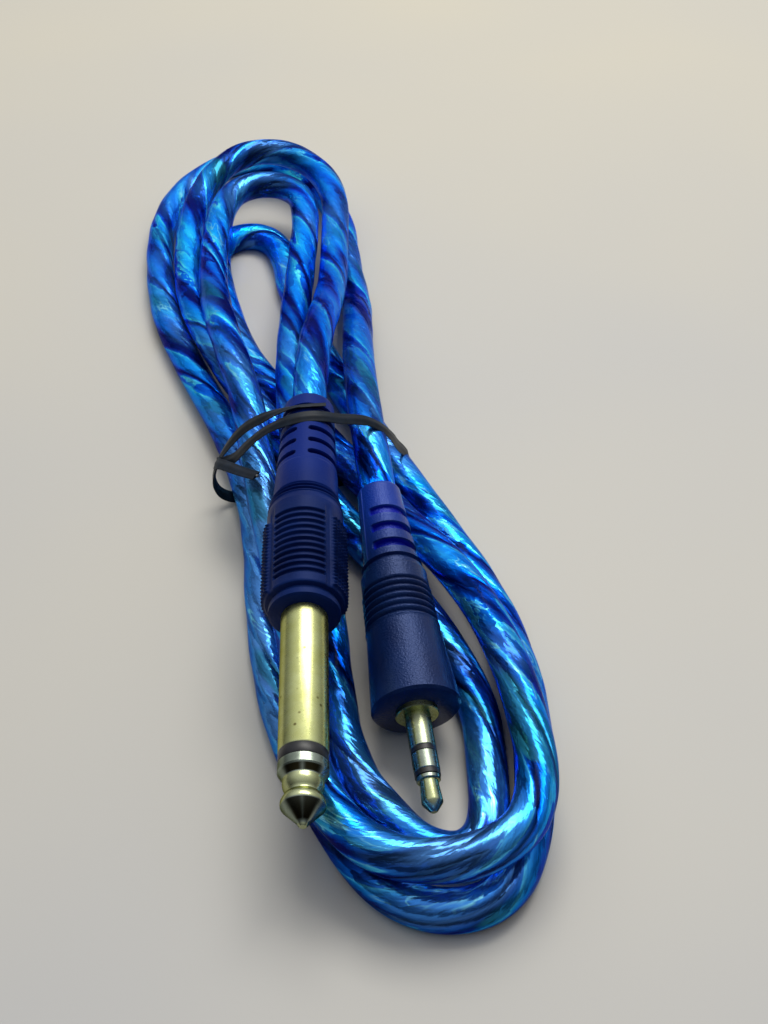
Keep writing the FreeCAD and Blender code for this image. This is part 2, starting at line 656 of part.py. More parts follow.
MINI = Placement(MINI_REAR, Rotation(Vector(), UP, MINI_WAY, "ZYX"))
MINI_CORE_FRONT = minus("mini_body_length", "mini_front_wall")
MINI_CORE_REAR = minus(MINI_CORE_FRONT, "mini_core_length")
MINI_SHANK_REAR = minus("mini_body_length", "mini_shank_length")
MINI_SLEEVE_LUG_REAR = minus(MINI_SHANK_REAR, "lug_thickness")
MINI_RING_STEP_REAR = minus(MINI_SLEEVE_LUG_REAR, "mini_step_length")
MINI_RING_LUG_REAR = minus(MINI_RING_STEP_REAR, "lug_thickness")
MINI_TIP_STEP_REAR = minus(MINI_RING_LUG_REAR, "mini_step_length")
MINI_TIP_LUG_REAR = minus(MINI_TIP_STEP_REAR, "lug_thickness")
MINI_ROD_REAR = minus(MINI_TIP_LUG_REAR, "mini_rivet_length")
MINI_PIN_REAR = plus("mini_body_length", "mini_flange_length")
MINI_SLEEVE_FRONT = plus(MINI_PIN_REAR, "mini_sleeve_length")
MINI_RING_REAR = plus(MINI_SLEEVE_FRONT, "mini_band_length")
MINI_RING_FRONT = plus(MINI_RING_REAR, "mini_ring_length")
MINI_TIP_REAR = plus(MINI_RING_FRONT, "mini_band_length")
MINI_TIP_FRONT = plus(MINI_TIP_REAR, "mini_tip_length")
MINI_BAND_RADIUS = minus("mini_shaft_radius", "mini_band_inset")
MINI_RING_TUBE = minus("mini_ring_bore_radius", "mini_tube_fit")
MINI_TIP_TUBE = minus("mini_tip_bore_radius", "mini_tube_fit")
MINI_ROD = minus(MINI_TIP_TUBE, "mini_tube_wall", "mini_tube_fit")


def mini_overmould():
    """The soft moulding: slotted relief, neck, band, ringed part and a body that widens."""
    neck_front = plus("mini_relief_length", "mini_neck_length")
    band_front = plus(neck_front, "mini_band_width")
    body_rear = plus(band_front, "mini_ridge_length")
    hole = plus("mini_shank_radius", "mini_fit")
    cavity = plus("mini_core_radius", "mini_fit")
    body = turned("mini_overmould_blank", (
        ("0", CORD_BORE), ("0", "mini_relief_rear_radius"),
        ("mini_relief_length", "mini_relief_front_radius"),
        ("mini_relief_length", "mini_neck_radius"), (neck_front, "mini_neck_radius"),
        (neck_front, "mini_band_radius"), (band_front, "mini_band_radius"),
        (body_rear, "mini_body_radius"),
        (minus("mini_body_length", "mini_rim_bevel"), "mini_rim_radius"),
        ("mini_body_length", minus("mini_rim_radius", "mini_rim_bevel")),
        ("mini_body_length", hole), (MINI_CORE_FRONT, hole), (MINI_CORE_FRONT, cavity),
        (MINI_CORE_REAR, cavity), (MINI_CORE_REAR, "mini_wire_bore_radius"),
        ("mini_cord_depth", "mini_wire_bore_radius"), ("mini_cord_depth", CORD_BORE)))
    slots = sector_grooves("mini_slots", "mini_slot_first", "mini_slot_pitch", "mini_slot_count",
                           "mini_slot_width", "mini_slot_angle",
                           (size("mini_slot_heading"), size("mini_slot_heading") + 180),
                           "mini_rim_radius", plus(CORD_BORE, "mini_slot_floor"))
    rings = ring_grooves("mini_ring_groove", plus(band_front, "mini_ring_first"),
                         "mini_ring_pitch", "mini_ring_count",
                         ("mini_band_radius", "mini_body_radius"), "mini_ring_radius")
    cutters = joined("mini_overmould_cuts", [slots] + rings)
    keep(cut("mini_overmould_cut", body, cutters), "mini_overmould", MINI)


def mini_core():
    """The hard inner moulding round the lugs and the solder."""
    front_bore = plus("mini_shank_radius", "mini_fit")
    collet_rear = minus(MINI_CORE_FRONT, "mini_collet_length")
    floor = plus(MINI_CORE_REAR, "mini_core_wall")
    keep(turned("mini_core_turned", (
        (MINI_CORE_REAR, "mini_wire_bore_radius"), (MINI_CORE_REAR, "mini_core_radius"),
        (MINI_CORE_FRONT, "mini_core_radius"), (MINI_CORE_FRONT, front_bore),
        (collet_rear, front_bore), (collet_rear, "mini_cavity_radius"),
        (floor, "mini_cavity_radius"), (floor, "mini_wire_bore_radius"))),
        "mini_inner_mould", MINI)


def mini_pin():
    """The pin: sleeve, ring and tip, with an insulating tube and band between each two."""
    keep(turned("mini_sleeve_turned", (
        (MINI_SHANK_REAR, "mini_sleeve_bore_radius"), (MINI_SHANK_REAR, "mini_shank_radius"),
        ("mini_body_length", "mini_shank_radius"), ("mini_body_length", "mini_flange_radius"),
        (MINI_PIN_REAR, "mini_flange_radius"), (MINI_PIN_REAR, "mini_shaft_radius"),
        (MINI_SLEEVE_FRONT, "mini_shaft_radius"),
        (MINI_SLEEVE_FRONT, "mini_sleeve_bore_radius"))), "mini_sleeve", MINI)
    outer_tube = minus("mini_sleeve_bore_radius", "mini_tube_fit")
    outer_step = plus(outer_tube, "mini_step_height")
    keep(turned("mini_ring_insulator_turned", (
        (MINI_RING_STEP_REAR, "mini_ring_bore_radius"), (MINI_RING_STEP_REAR, outer_step),
        (MINI_SLEEVE_LUG_REAR, outer_step), (MINI_SLEEVE_LUG_REAR, outer_tube),
        (MINI_SLEEVE_FRONT, outer_tube), (MINI_SLEEVE_FRONT, MINI_BAND_RADIUS),
        (MINI_RING_REAR, MINI_BAND_RADIUS), (MINI_RING_REAR, "mini_ring_bore_radius"))),
        "mini_ring_insulator", MINI)
    keep(turned("mini_ring_turned", (
        (MINI_RING_LUG_REAR, "mini_tip_bore_radius"), (MINI_RING_LUG_REAR, MINI_RING_TUBE),
        (MINI_RING_REAR, MINI_RING_TUBE), (MINI_RING_REAR, "mini_shaft_radius"),
        (MINI_RING_FRONT, "mini_shaft_radius"), (MINI_RING_FRONT, "mini_tip_bore_radius"))),
        "mini_ring", MINI)
    inner_bore = plus(MINI_ROD, "mini_tube_fit")
    inner_step = plus(MINI_TIP_TUBE, "mini_step_height")
    keep(turned("mini_tip_insulator_turned", (
        (MINI_TIP_STEP_REAR, inner_bore), (MINI_TIP_STEP_REAR, inner_step),
        (MINI_RING_LUG_REAR, inner_step), (MINI_RING_LUG_REAR, MINI_TIP_TUBE),
        (MINI_RING_FRONT, MINI_TIP_TUBE), (MINI_RING_FRONT, MINI_BAND_RADIUS),
        (MINI_TIP_REAR, MINI_BAND_RADIUS), (MINI_TIP_REAR, inner_bore))),
        "mini_tip_insulator", MINI)
    collar_front = plus(MINI_TIP_REAR, "mini_tip_collar_length")
    point_rear = minus(MINI_TIP_FRONT, "mini_tip_point_length")
    keep(turned("mini_tip_turned", (
        (MINI_ROD_REAR, "0"), (MINI_ROD_REAR, "mini_rivet_radius"),
        (MINI_TIP_LUG_REAR, "mini_rivet_radius"), (MINI_TIP_LUG_REAR, MINI_ROD),
        (MINI_TIP_REAR, MINI_ROD), (MINI_TIP_REAR, "mini_tip_collar_radius"),
        (collar_front, "mini_tip_collar_radius"), (collar_front, "mini_tip_neck_radius"),
        (point_rear, "mini_tip_front_radius"), (MINI_TIP_FRONT, "mini_tip_point_radius"),
        (MINI_TIP_FRONT, "0"))), "mini_tip", MINI)


def mini_wiring():
    """A lug each for tip, ring and sleeve, the two wires from the cord and their solder."""
    tip_tab_rear = minus(plus(MINI_TIP_LUG_REAR, "lug_thickness"), "mini_tip_tab_length")
    sleeve_tab_rear = minus(MINI_SHANK_REAR, "mini_sleeve_tab_length")
    for label, bore, start, length, height, heading in (
            ("tip", plus(MINI_ROD, "mini_tube_fit"), MINI_TIP_LUG_REAR,
             "mini_tip_tab_length", "mini_tip_tab_height", 0),
            ("ring", "mini_ring_bore_radius", MINI_RING_LUG_REAR,
             "mini_ring_tab_length", "mini_ring_tab_height", -90),
            ("sleeve", "mini_sleeve_bore_radius", MINI_SLEEVE_LUG_REAR,
             "mini_sleeve_tab_length", "mini_sleeve_tab_height", 180)):
        rim = plus(bore, "mini_lug_rim")
        keep(lug("mini_%s_lug_sheet" % label, bore, rim, start, length, "mini_tab_width",
                 height, heading), "mini_%s_lug" % label, MINI)
    high = minus("mini_tip_tab_height", "core_wire_radius", "wire_gap")
    deep = "-" + minus("mini_sleeve_tab_height", "shield_wire_radius", "wire_gap")
    for label, radius, height, tab_rear, tab_height, side in (
            ("mini_signal", "core_wire_radius", high, tip_tab_rear, "mini_tip_tab_height", 1),
            ("mini_ground", "shield_wire_radius", deep, sleeve_tab_rear,
             "mini_sleeve_tab_height", -1)):
        end = plus(tab_rear, "wire_lap")
        placed(wire(label + "_core", radius, height, "mini_cord_depth", end),
               label + "_wire", MINI)
        keep(solder(label + "_drop", height, end, radius, tab_rear, "mini_tab_width",
                    tab_height, side), label + "_solder", MINI)


mini_overmould()
mini_core()
mini_pin()
mini_wiring()

# The twist tie: a flat band with a wire in it, round the hank in a plane that leans to the front

TIED = {   # where the strands cross the tie's plane: across, and up in that plane
    "outer_left": (-12.4, 4.1),
    "outer_right": (17.3, 3.95),
    "to_the_small_plug": (10.9, 16.3),
    "strain_relief": (2.0, 20.8),
    "top_left": (-8.0, 11.35),
}
TIE_END = Vector(-5.9, -30.5, 14.0)   # the ribbon's free end, on top of the upper left strand
LEAN = math.radians(size("tie_lean"))


def tie_discs(offset):
    """The outer strands as discs in the tie's plane, each with its radius and the offset."""
    discs = []
    for name, (across, up) in TIED.items():
        radius = size("jack_relief_rear_radius" if name == "strain_relief" else "cord_diameter / 2")
        radius = radius / math.cos(LEAN) + size("tie_clearance") + offset
        discs.append((Vector(across, up, 0), radius))
    return discs


def tangent(start, end):
    """The line that touches two discs on their outer side: its two ends and its normal."""
    (a, a_radius), (b, b_radius) = start, end
    span = b - a
    heading = math.atan2(span.y, span.x) - math.acos((a_radius - b_radius) / span.Length)
    out = Vector(math.cos(heading), math.sin(heading), 0)
    return a + out * a_radius, b + out * b_radius, out


def belt(offset):
    """A closed belt in the tie's plane: arcs round the outer strands and lines tangent to them."""
    discs = tie_discs(offset)
    lines = [tangent(start, end) for start, end in zip(discs, discs[1:] + discs[:1])]
    edges = []
    for (centre, radius), before, after in zip(discs, lines[-1:] + lines[:-1], lines):
        middle = centre + (before[2] + after[2]).normalize() * radius
        edges.append(Part.Arc(before[1], middle, after[0]).toShape())
        edges.append(Part.LineSegment(after[0], after[1]).toShape())
    return Part.Wire(edges)


TIE_PLANE = Placement(Vector(0, size("tie_foot"), 0), Rotation(Vector(1, 0, 0), 90 + size("tie_lean")))


def band(name, inner, outer, width):
    """The belt between two offsets as a face in the tie's plane, drawn out along the strands."""
    face = doc.addObject("Part::Feature", name + "_face")
    face.Shape = Part.makeFace([belt(outer), belt(inner)], "Part::FaceMakerBullseye")
    face.Placement = TIE_PLANE
    drawn = doc.addObject("Part::Extrusion", name)
    drawn.Base = face
    drawn.DirMode = "Custom"
    drawn.Dir = Vector(0, 1, 0)
    drawn.Solid = True
    drawn.setExpression("LengthFwd", bound(width + " / 2"))
    drawn.setExpression("LengthRev", bound(width + " / 2"))
    return drawn


def end_strip(name, start, width, thickness):
    """The ribbon's free end: a straight strip from the loop to its place on the strand."""
    strip = doc.addObject("Part::Box", name)
    strip.setExpression("Width", bound(width))
    strip.setExpression("Height", bound(thickness))
    strip.Length = (TIE_END - start).Length
    corner = Vector(0, -size(width) / 2, -size(thickness) / 2)
    turned_to_end = Rotation(TIE_END - start, Vector(), UP, "XZY")
    strip.Placement = Placement(start, turned_to_end).multiply(Placement(corner, Rotation()))
    return strip


def twist_tie():
    """The band round the hank with its free end, and the wire that runs through both."""
    wire_inside = minus("tie_thickness / 2", "tie_wire_thickness / 2")
    wire_outside = plus("tie_thickness / 2", "tie_wire_thickness / 2")
    loop = band("tie_loop", 0, size("tie_thickness"), "tie_width")
    core = band("tie_core", size(wire_inside), size(wire_outside), "tie_wire_width")
    discs = tie_discs(size("tie_thickness / 2"))
    start = TIE_PLANE.multVec(tangent(discs[-1], discs[0])[0])
    strip = end_strip("tie_end", start, "tie_width", "tie_thickness")
    strip_core = end_strip("tie_end_core", start, "tie_wire_width", "tie_wire_thickness")
    wire_shape = joined("tie_wire", [core, strip_core])
    cover = cut("tie_cover", joined("tie_bands", [loop, strip]), wire_shape)
    keep(cover, "twist_tie_cover", Placement())
    keep(wire_shape, "twist_tie_wire", Placement())


twist_tie()

doc.recompute()
for thing in doc.Objects:
    if "Invalid" in thing.State or "Error" in thing.State:
        raise RuntimeError("%s did not compute: %s" % (thing.Label, thing.State))
os.makedirs("parts", exist_ok=True)
for part in sub_parts:
    if part.Shape.isNull() or not part.Shape.isValid():
        raise RuntimeError("%s has no valid shape" % part.Label)
    box = part.Shape.BoundBox
    print("%-22s %d solid, volume %9.3f, x %.1f to %.1f, y %.1f to %.1f, z %.2f to %.2f" % (
        part.Label, len(part.Shape.Solids), part.Shape.Volume,
        box.XMin, box.XMax, box.YMin, box.YMax, box.ZMin, box.ZMax))
for part in sub_parts:
    part.Shape.exportStep("parts/%s.step" % part.Label)
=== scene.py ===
import json
import math

import bpy
import numpy as np
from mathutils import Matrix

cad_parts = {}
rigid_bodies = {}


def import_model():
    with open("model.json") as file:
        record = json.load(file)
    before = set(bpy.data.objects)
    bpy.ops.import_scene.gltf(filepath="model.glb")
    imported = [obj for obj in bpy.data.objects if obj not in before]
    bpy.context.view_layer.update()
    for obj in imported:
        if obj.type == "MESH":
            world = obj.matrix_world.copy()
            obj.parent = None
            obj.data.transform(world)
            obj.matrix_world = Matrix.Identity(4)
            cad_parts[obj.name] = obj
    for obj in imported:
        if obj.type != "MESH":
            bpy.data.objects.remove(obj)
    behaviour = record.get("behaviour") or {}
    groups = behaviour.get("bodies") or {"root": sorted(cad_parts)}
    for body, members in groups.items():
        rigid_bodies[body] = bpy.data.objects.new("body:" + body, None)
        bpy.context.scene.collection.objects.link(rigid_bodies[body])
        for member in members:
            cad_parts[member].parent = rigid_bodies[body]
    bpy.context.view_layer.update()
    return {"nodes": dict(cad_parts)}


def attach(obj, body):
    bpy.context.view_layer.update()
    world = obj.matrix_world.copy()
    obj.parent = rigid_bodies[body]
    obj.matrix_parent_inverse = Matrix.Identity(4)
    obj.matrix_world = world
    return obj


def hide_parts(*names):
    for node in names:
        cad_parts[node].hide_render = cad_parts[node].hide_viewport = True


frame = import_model()
MM = 0.001

# The camera: above the plug tips, looking along the hank and down at the table

FOCAL_PIXELS = 1326             # the photo's focal length in its own pixels
PHOTO_HEIGHT = 1024             # the photo's longer side, which the sensor's width covers
LOOKING_DOWN = 41.5             # degrees
camera_lens = bpy.data.cameras.new("camera")
camera_lens.sensor_width = 36.0
camera_lens.lens = camera_lens.sensor_width * FOCAL_PIXELS / PHOTO_HEIGHT
camera_lens.clip_start = 0.01
camera = bpy.data.objects.new("camera", camera_lens)
camera.location = (0.0132, -0.1858, 0.1439)
camera.rotation_euler = (math.radians(90 - LOOKING_DOWN), 0, 0)
bpy.context.scene.collection.objects.link(camera)
bpy.context.scene.camera = camera
bpy.context.scene.view_settings.view_transform = "Standard"

# The cord: two cores and a screen twisted together, wrapped in metallised blue film that creased as
# it was wound, with a clear soft PVC jacket extruded over it. It was folded into seven turns by hand
# and runs from inside the big plug's moulding to inside the small plug's.

CORD_RADIUS = 2.75
LOW = 2.25                      # centreline of a strand that lies pressed on the table
ROWS = (36.2, 14.2, -6.8, -27.8, -46.8, -64.8)  # y, from the far end to the near one
STRANDS = {   # x and z of each strand at the rows
    "outer_left": ((-30.9, LOW), (-22.4, LOW), (-13.2, 3.4), (-6.6, 3.0), (-4.9, LOW), (-2.0, LOW)),
    "middle": ((-25.6, 5.6), (-17.6, 6.0), (-6.0, 4.8), (5.8, 3.1), (18.8, LOW), (26.4, LOW)),
    "to_the_right": ((-18.4, LOW), (-11.6, LOW), (2.6, 2.9), (14.4, 4.4), (25.0, 8.3), (31.2, 8.6)),
    "outer_right": ((-4.6, LOW), (3.2, LOW), (11.0, 3.7), (20.9, 3.3), (30.0, LOW), (33.6, LOW)),
    "top_left": ((-20.2, 8.9), (-16.2, 12.2), (-9.6, 11.4), (-6.0, 9.4), (-1.6, 7.6), (2.0, 7.7)),
    "top_right": ((-2.9, 8.8), (-3.4, 9.2), (-2.4, 11.0), (0.6, 9.3), (4.6, 3.0), (6.4, LOW)),
}
TURNS = {   # the points that draw each turn in, from its left to its right
    "far_upper": ((-27.4, 71.0, 6.6), (-19.0, 86.8, 9.2), (-6.6, 86.6, 9.2), (3.0, 71.4, 8.8)),
    "far_lower": ((-35.1, 73.5, LOW), (-23.6, 95.8, LOW), (-8.3, 97.6, LOW), (3.8, 72.4, LOW)),
    "far_upper_inner": ((-20.7, 64.2, 8.8), (-15.6, 71.6, 9.2), (-7.8, 71.4, 9.2), (-2.6, 63.5, 9.2)),
    "far_lower_inner": ((-22.0, 56.1, LOW), (-17.8, 61.8, LOW), (-11.6, 61.8, LOW), (-7.4, 55.0, LOW)),
    "near_inner": ((8.6, -76.6, LOW), (13.6, -84.6, LOW), (18.4, -89.6, LOW), (23.4, -90.4, LOW),
                   (26.8, -86.2, LOW), (26.9, -76.0, LOW)),
    "near_lower": ((2.8, -78.5, LOW), (13.8, -98.1, LOW), (28.0, -98.1, LOW), (33.0, -84.0, LOW)),
    "near_upper": ((3.6, -83.7, 8.2), (12.2, -95.4, 8.6), (25.0, -95.4, 8.6), (33.4, -87.5, 8.6)),
}
LEAVING = 11.5                  # how far behind a plug the first control point lies
FROM_JACK = ((2.0, 3.2, 18.2), (2.9, 16.2, 14.2), (3.6, 30.2, 10.7), (3.4, 46.2, 8.9))
TO_MINI = ((5.9, 48.2, 2.3), (8.0, 34.2, 3.3), (8.3, 20.7, 7.6), (8.6, 7.2, 10.6), (9.4, -6.8, 13.4))


def unit(vectors):
    """Each vector divided by its own length."""
    vectors = np.asarray(vectors, float)
    return vectors / np.linalg.norm(vectors, axis=-1, keepdims=True)


JACK_REAR = np.array((1.9, -20.5, 18.8))
JACK_WAY = unit((0.0195, -0.9971, -0.0660))
MINI_FRONT = np.array((17.55, -70.69, 6.54))
MINI_WAY = unit((0.1355, -0.9757, -0.1700))
MINI_LENGTH = 38.0              # of the small plug's moulding
MINI_REAR = MINI_FRONT - MINI_LENGTH * MINI_WAY


def strand(name, way):
    """A strand's control points, towards the near end (1) or the far end (-1)."""
    return [(x, y, z) for y, (x, z) in zip(ROWS, STRANDS[name])][::way]


def turn(name, way):
    """A turn's control points, from its left (1) or from its right (-1)."""
    return list(TURNS[name])[::way]


ASIDE = np.array((-0.4, 0, 0))  # the big plug's rear sits this far off its pin's line
IN_JACK = 12.0                  # how far the cord runs into each moulding
IN_MINI = 11.0
cord_points = [JACK_REAR + IN_JACK * JACK_WAY + ASIDE, JACK_REAR + ASIDE,
               JACK_REAR - LEAVING * JACK_WAY + ASIDE / 2, *FROM_JACK]
for part, name, way in (
        (turn, "far_upper", -1), (strand, "middle", 1), (turn, "near_inner", -1),
        (strand, "top_right", -1), (turn, "far_upper_inner", -1), (strand, "top_left", 1),
        (turn, "near_upper", 1), (strand, "to_the_right", -1), (turn, "far_lower_inner", 1),
        (strand, "outer_right", 1), (turn, "near_lower", -1), (strand, "outer_left", -1),
        (turn, "far_lower", 1)):
    cord_points += part(name, way)
cord_points += [*TO_MINI, MINI_REAR - LEAVING * MINI_WAY, MINI_REAR,
                MINI_REAR + IN_MINI * MINI_WAY]
cord_points = np.array(cord_points, float) * MM


def smooth_line(name, points, step):
    """Points every step metres along the quadratic NURBS spline that has these control points."""
    curve = bpy.data.curves.new(name, "CURVE")
    curve.dimensions = "3D"
    spline = curve.splines.new("NURBS")
    spline.points.add(len(points) - 1)
    spline.points.foreach_set("co", np.c_[points, np.ones(len(points))].ravel())
    spline.order_u = 3
    spline.use_endpoint_u = True
    spline.resolution_u = 24
    guide = bpy.data.objects.new(name, curve)
    bpy.context.scene.collection.objects.link(guide)
    bpy.context.view_layer.update()
    mesh = bpy.data.meshes.new_from_object(guide)
    line = np.empty(len(mesh.vertices) * 3)
    mesh.vertices.foreach_get("co", line)
    line = line.reshape(-1, 3)
    for thing, store in ((guide, bpy.data.objects), (curve, bpy.data.curves),
                         (mesh, bpy.data.meshes)):
        store.remove(thing)
    along = np.r_[0, np.cumsum(np.linalg.norm(np.diff(line, axis=0), axis=1))]
    stops = np.linspace(0, along[-1], int(along[-1] / step) + 1)
    return np.stack([np.interp(stops, along, line[:, axis]) for axis in range(3)], axis=1), stops


def skin(name, grid, uv=None, sharp=None, **measures):
    """A mesh through a grid of points, rows along the piece and columns round it.

    The columns join up, and each end ring closes on its own middle. uv is (along, round), one
    number for each row and each column edge. A measure has one number for each point, and is
    kept as an attribute of its own name."""
    rows, columns = grid.shape[:2]
    ends = np.stack([grid[0].mean(axis=0), grid[-1].mean(axis=0)])
    points = np.concatenate([grid.reshape(-1, 3), ends])
    ring = np.arange(columns)
    after = (ring + 1) % columns
    first = np.arange(rows - 1)[:, None]
    quads = np.stack([first * columns + ring, first * columns + after,
                      (first + 1) * columns + after, (first + 1) * columns + ring], axis=-1)
    low, high = rows * columns, rows * columns + 1
    last = (rows - 1) * columns
    caps = np.stack([np.stack([after, ring, np.full(columns, low)], axis=1),
                     np.stack([last + ring, last + after, np.full(columns, high)], axis=1)])
    mesh = bpy.data.meshes.new(name)
    mesh.from_pydata(points.tolist(), [], quads.reshape(-1, 4).tolist() + caps.reshape(-1, 3).tolist())
    if uv is not None:
        along, around = uv
        u = np.stack([along[:-1], along[:-1], along[1:], along[1:]], axis=-1)[:, None]
        v = np.stack([around[:-1], around[1:], around[1:], around[:-1]], axis=-1)[None]
        sides = np.stack(np.broadcast_arrays(u, v), axis=-1).reshape(-1, 2)
        tips = np.zeros((columns * 6, 2))
        tips[:columns * 3, 0] = along[0]
        tips[columns * 3:, 0] = along[-1]
        flat = np.concatenate([sides, tips]).ravel()
        mesh.uv_layers.new(name="lay").data.foreach_set("uv", flat)
    for measure, given in measures.items():
        values = np.concatenate([given.ravel(), given[0, :1], given[-1, :1]])
        mesh.attributes.new(measure, "FLOAT", "POINT").data.foreach_set("value", values)
    mesh.shade_smooth()
    if sharp is not None:
        mesh.set_sharp_from_angle(angle=math.radians(sharp))
    piece = bpy.data.objects.new(name, mesh)
    bpy.context.scene.collection.objects.link(piece)
    return piece


SIDES = 28
ROW_STEP = 0.75 * MM
LAY_PITCH = 46.0 * MM           # one turn of the twisted bundle, left-handed
SWELL = 0.045                   # the jacket's mean swelling over a lobe of the bundle
SWELL_CHANGE = 0.03             # and how much that rises and falls along the cord
SWELL_WAVE = 17.1 * MM          # over this length for each radian
TABLE_CLEARANCE = 0.02 * MM
cord_line, along = smooth_line("cord_route", cord_points, ROW_STEP)
tangent = unit(np.gradient(cord_line, axis=0))
upward = unit(np.array((0, 0, 1.0)) - tangent[:, 2:] * tangent)
sideways = np.cross(tangent, upward)
around = np.arange(SIDES + 1) / SIDES
heading = 2 * math.pi * around[:-1]
# The jacket swells over the bundle's lobes: r = R + w cos 4t, where t is the heading turned back
# with the lay, and w rises and falls along the cord.
lay_angle = heading[None, :] + 2 * math.pi * along[:, None] / LAY_PITCH
swell = (SWELL + SWELL_CHANGE * np.sin(along / SWELL_WAVE))[:, None] * np.cos(4 * lay_angle)
radius = (CORD_RADIUS + swell) * MM
cord_grid = cord_line[:, None, :] + radius[..., None] * (
    np.cos(heading)[None, :, None] * upward[:, None, :]
    + np.sin(heading)[None, :, None] * sideways[:, None, :])
cord_grid[..., 2] = np.maximum(cord_grid[..., 2], TABLE_CLEARANCE)
cord = skin("cord", cord_grid, uv=(along / LAY_PITCH, around))


def linear(colour):
    """An sRGB hex colour as linear RGBA: c / 12.92 up to 0.04045, else ((c + 0.055) / 1.055) ^ 2.4."""
    parts = np.array([int(colour[i:i + 2], 16) for i in (1, 3, 5)]) / 255
    parts = np.where(parts <= 0.04045, parts / 12.92, ((parts + 0.055) / 1.055) ** 2.4)
    return (*parts.tolist(), 1.0)


def add(tree, kind, sockets=None, stops=None, **settings):
    """Adds a node. sockets gives inputs a constant or another node's output.

    stops fill a ramp, which starts with two elements: the first two stops take these."""
    made = tree.nodes.new("ShaderNode" + kind)
    for key, value in settings.items():
        setattr(made, key, value)
    for key, value in (sockets or {}).items():
        if isinstance(value, bpy.types.NodeSocket):
            tree.links.new(value, made.inputs[key])
        else:
            made.inputs[key].default_value = linear(value) if isinstance(value, str) else value
    for number, (position, colour) in enumerate(stops or ()):
        ramp = made.color_ramp.elements
        spot = ramp[number] if number < 2 else ramp.new(position)
        spot.position = position
        spot.color = linear(colour) if isinstance(colour, str) else (colour, colour, colour, 1.0)
    return made


def finish_named(name, **sockets):
    """A new material with one Principled shader, and its tree and shader."""
    made = bpy.data.materials.new(name)
    made.use_nodes = True
    shader = made.node_tree.nodes["Principled BSDF"]
    for key, value in sockets.items():
        socket = shader.inputs[key.replace("_", " ").title().replace("Ior", "IOR")]
        socket.default_value = linear(value) if isinstance(value, str) else value
    return made, made.node_tree, shader


# Metallised polyester film under clear PVC: azure where it lies smooth along the lay, with painted
# cyan highlights as glints on its creases and painted near-black shade in the folds beside them,
# painted reflections of the room in the jacket's milky haze, and over it the jacket's soft gloss
film, tree, shader = finish_named(
    "metallised_film_under_clear_pvc", metallic=0.82, roughness=0.22, specular_ior_level=0.06,
    specular_tint="#3f8fee", coat_weight=0.05, coat_roughness=0.1, coat_ior=1.4)
BANDS = 2                       # bright bands round the cord
BUNDLE = 2.1                    # radius of the wrapped bundle, on which the patterns lie
# The middle of the painted shade in the folded upper far turns
FOLD_SHADE_MIDDLE = (-0.0130, 0.0755, 0.009)  # in metres, amid the upper far turns
uv = add(tree, "UVMap", uv_map="lay")
uv_parts = add(tree, "SeparateXYZ", {0: uv.outputs[0]})
turned_back = add(tree, "Math", {0: uv_parts.outputs[0], 1: uv_parts.outputs[1]}, operation="ADD")
angle = add(tree, "Math", {0: turned_back.outputs[0], 1: 2 * math.pi}, operation="MULTIPLY")
cosine = add(tree, "Math", {0: angle.outputs[0]}, operation="COSINE")
sine = add(tree, "Math", {0: angle.outputs[0]}, operation="SINE")
length = add(tree, "Math", {0: uv_parts.outputs[0], 1: LAY_PITCH / MM / BUNDLE},
             operation="MULTIPLY")
bundle = add(tree, "CombineXYZ", {0: cosine.outputs[0], 1: sine.outputs[0], 2: length.outputs[0]})
bundle = add(tree, "VectorMath", {0: bundle.outputs[0], "Scale": BUNDLE}, operation="SCALE")


def stretched(along_share):
    """The untwisted place, in millimetres, squeezed along the cord so that a pattern draws out.

    A pattern on it has its scale in cells to the millimetre: 0.5 makes them 2 mm across."""
    return add(tree, "Mapping", {"Vector": bundle.outputs[0],
                                 "Scale": (1.0, 1.0, along_share)}).outputs[0]


def sum_of(*terms):
    """Each (socket, weight) pair's value less a half, weighted, and all added up."""
    total = None
    for socket, weight in terms:
        base = total.outputs[0] if total else 0.0
        total = add(tree, "Math", {0: socket, 1: weight, 2: base}, operation="MULTIPLY_ADD")
        total = add(tree, "Math", {0: total.outputs[0], 1: -weight / 2}, operation="ADD")
    return total


# Creases wander along the lay. Each flake of film, 2 mm across, and each chip, under 1 mm, shifts the
# bands by its own step, and their edges are ragged.
wander = add(tree, "TexNoise", {"Vector": stretched(0.09), "Scale": 0.25, "Detail": 1.2})
ragged = add(tree, "TexNoise", {"Vector": stretched(0.35), "Scale": 0.9, "Detail": 2.0})
ragged = add(tree, "VectorMath", {0: ragged.outputs["Color"], 1: (2.2, 2.2, 2.2), 2: stretched(0.22)},
             operation="MULTIPLY_ADD")
flake = add(tree, "TexVoronoi", {"Vector": ragged.outputs[0], "Scale": 0.5})
flake_parts = add(tree, "SeparateXYZ", {0: flake.outputs["Color"]})
chip = add(tree, "TexVoronoi", {"Vector": ragged.outputs[0], "Scale": 1.35})
chip_parts = add(tree, "SeparateXYZ", {0: chip.outputs["Color"]})
shift = sum_of((wander.outputs[0], 3.2), (flake_parts.outputs[0], 0.17), (chip_parts.outputs[0], 0.06))
band = add(tree, "Math", {0: turned_back.outputs[0], 1: BANDS, 2: shift.outputs[0]},
           operation="MULTIPLY_ADD")
band = add(tree, "Math", {0: band.outputs[0]}, operation="FRACT")
# The bands' colours: the film's blue, a painted highlight streak at each band's bright edge, and
# painted shade in the folds between bands
shade = add(tree, "ValToRGB", {0: band.outputs[0]}, stops=(
    (0.0, "#001a54"), (1.0, "#001a54"), (0.07, "#002c88"), (0.15, "#0054bc"), (0.30, "#0c72de"),
    (0.50, "#1c8af0"), (0.62, "#2ca6f8"), (0.69, "#56ccff"), (0.71, "#0f70dc"), (0.80, "#0042aa"),
    (0.88, "#002066")))
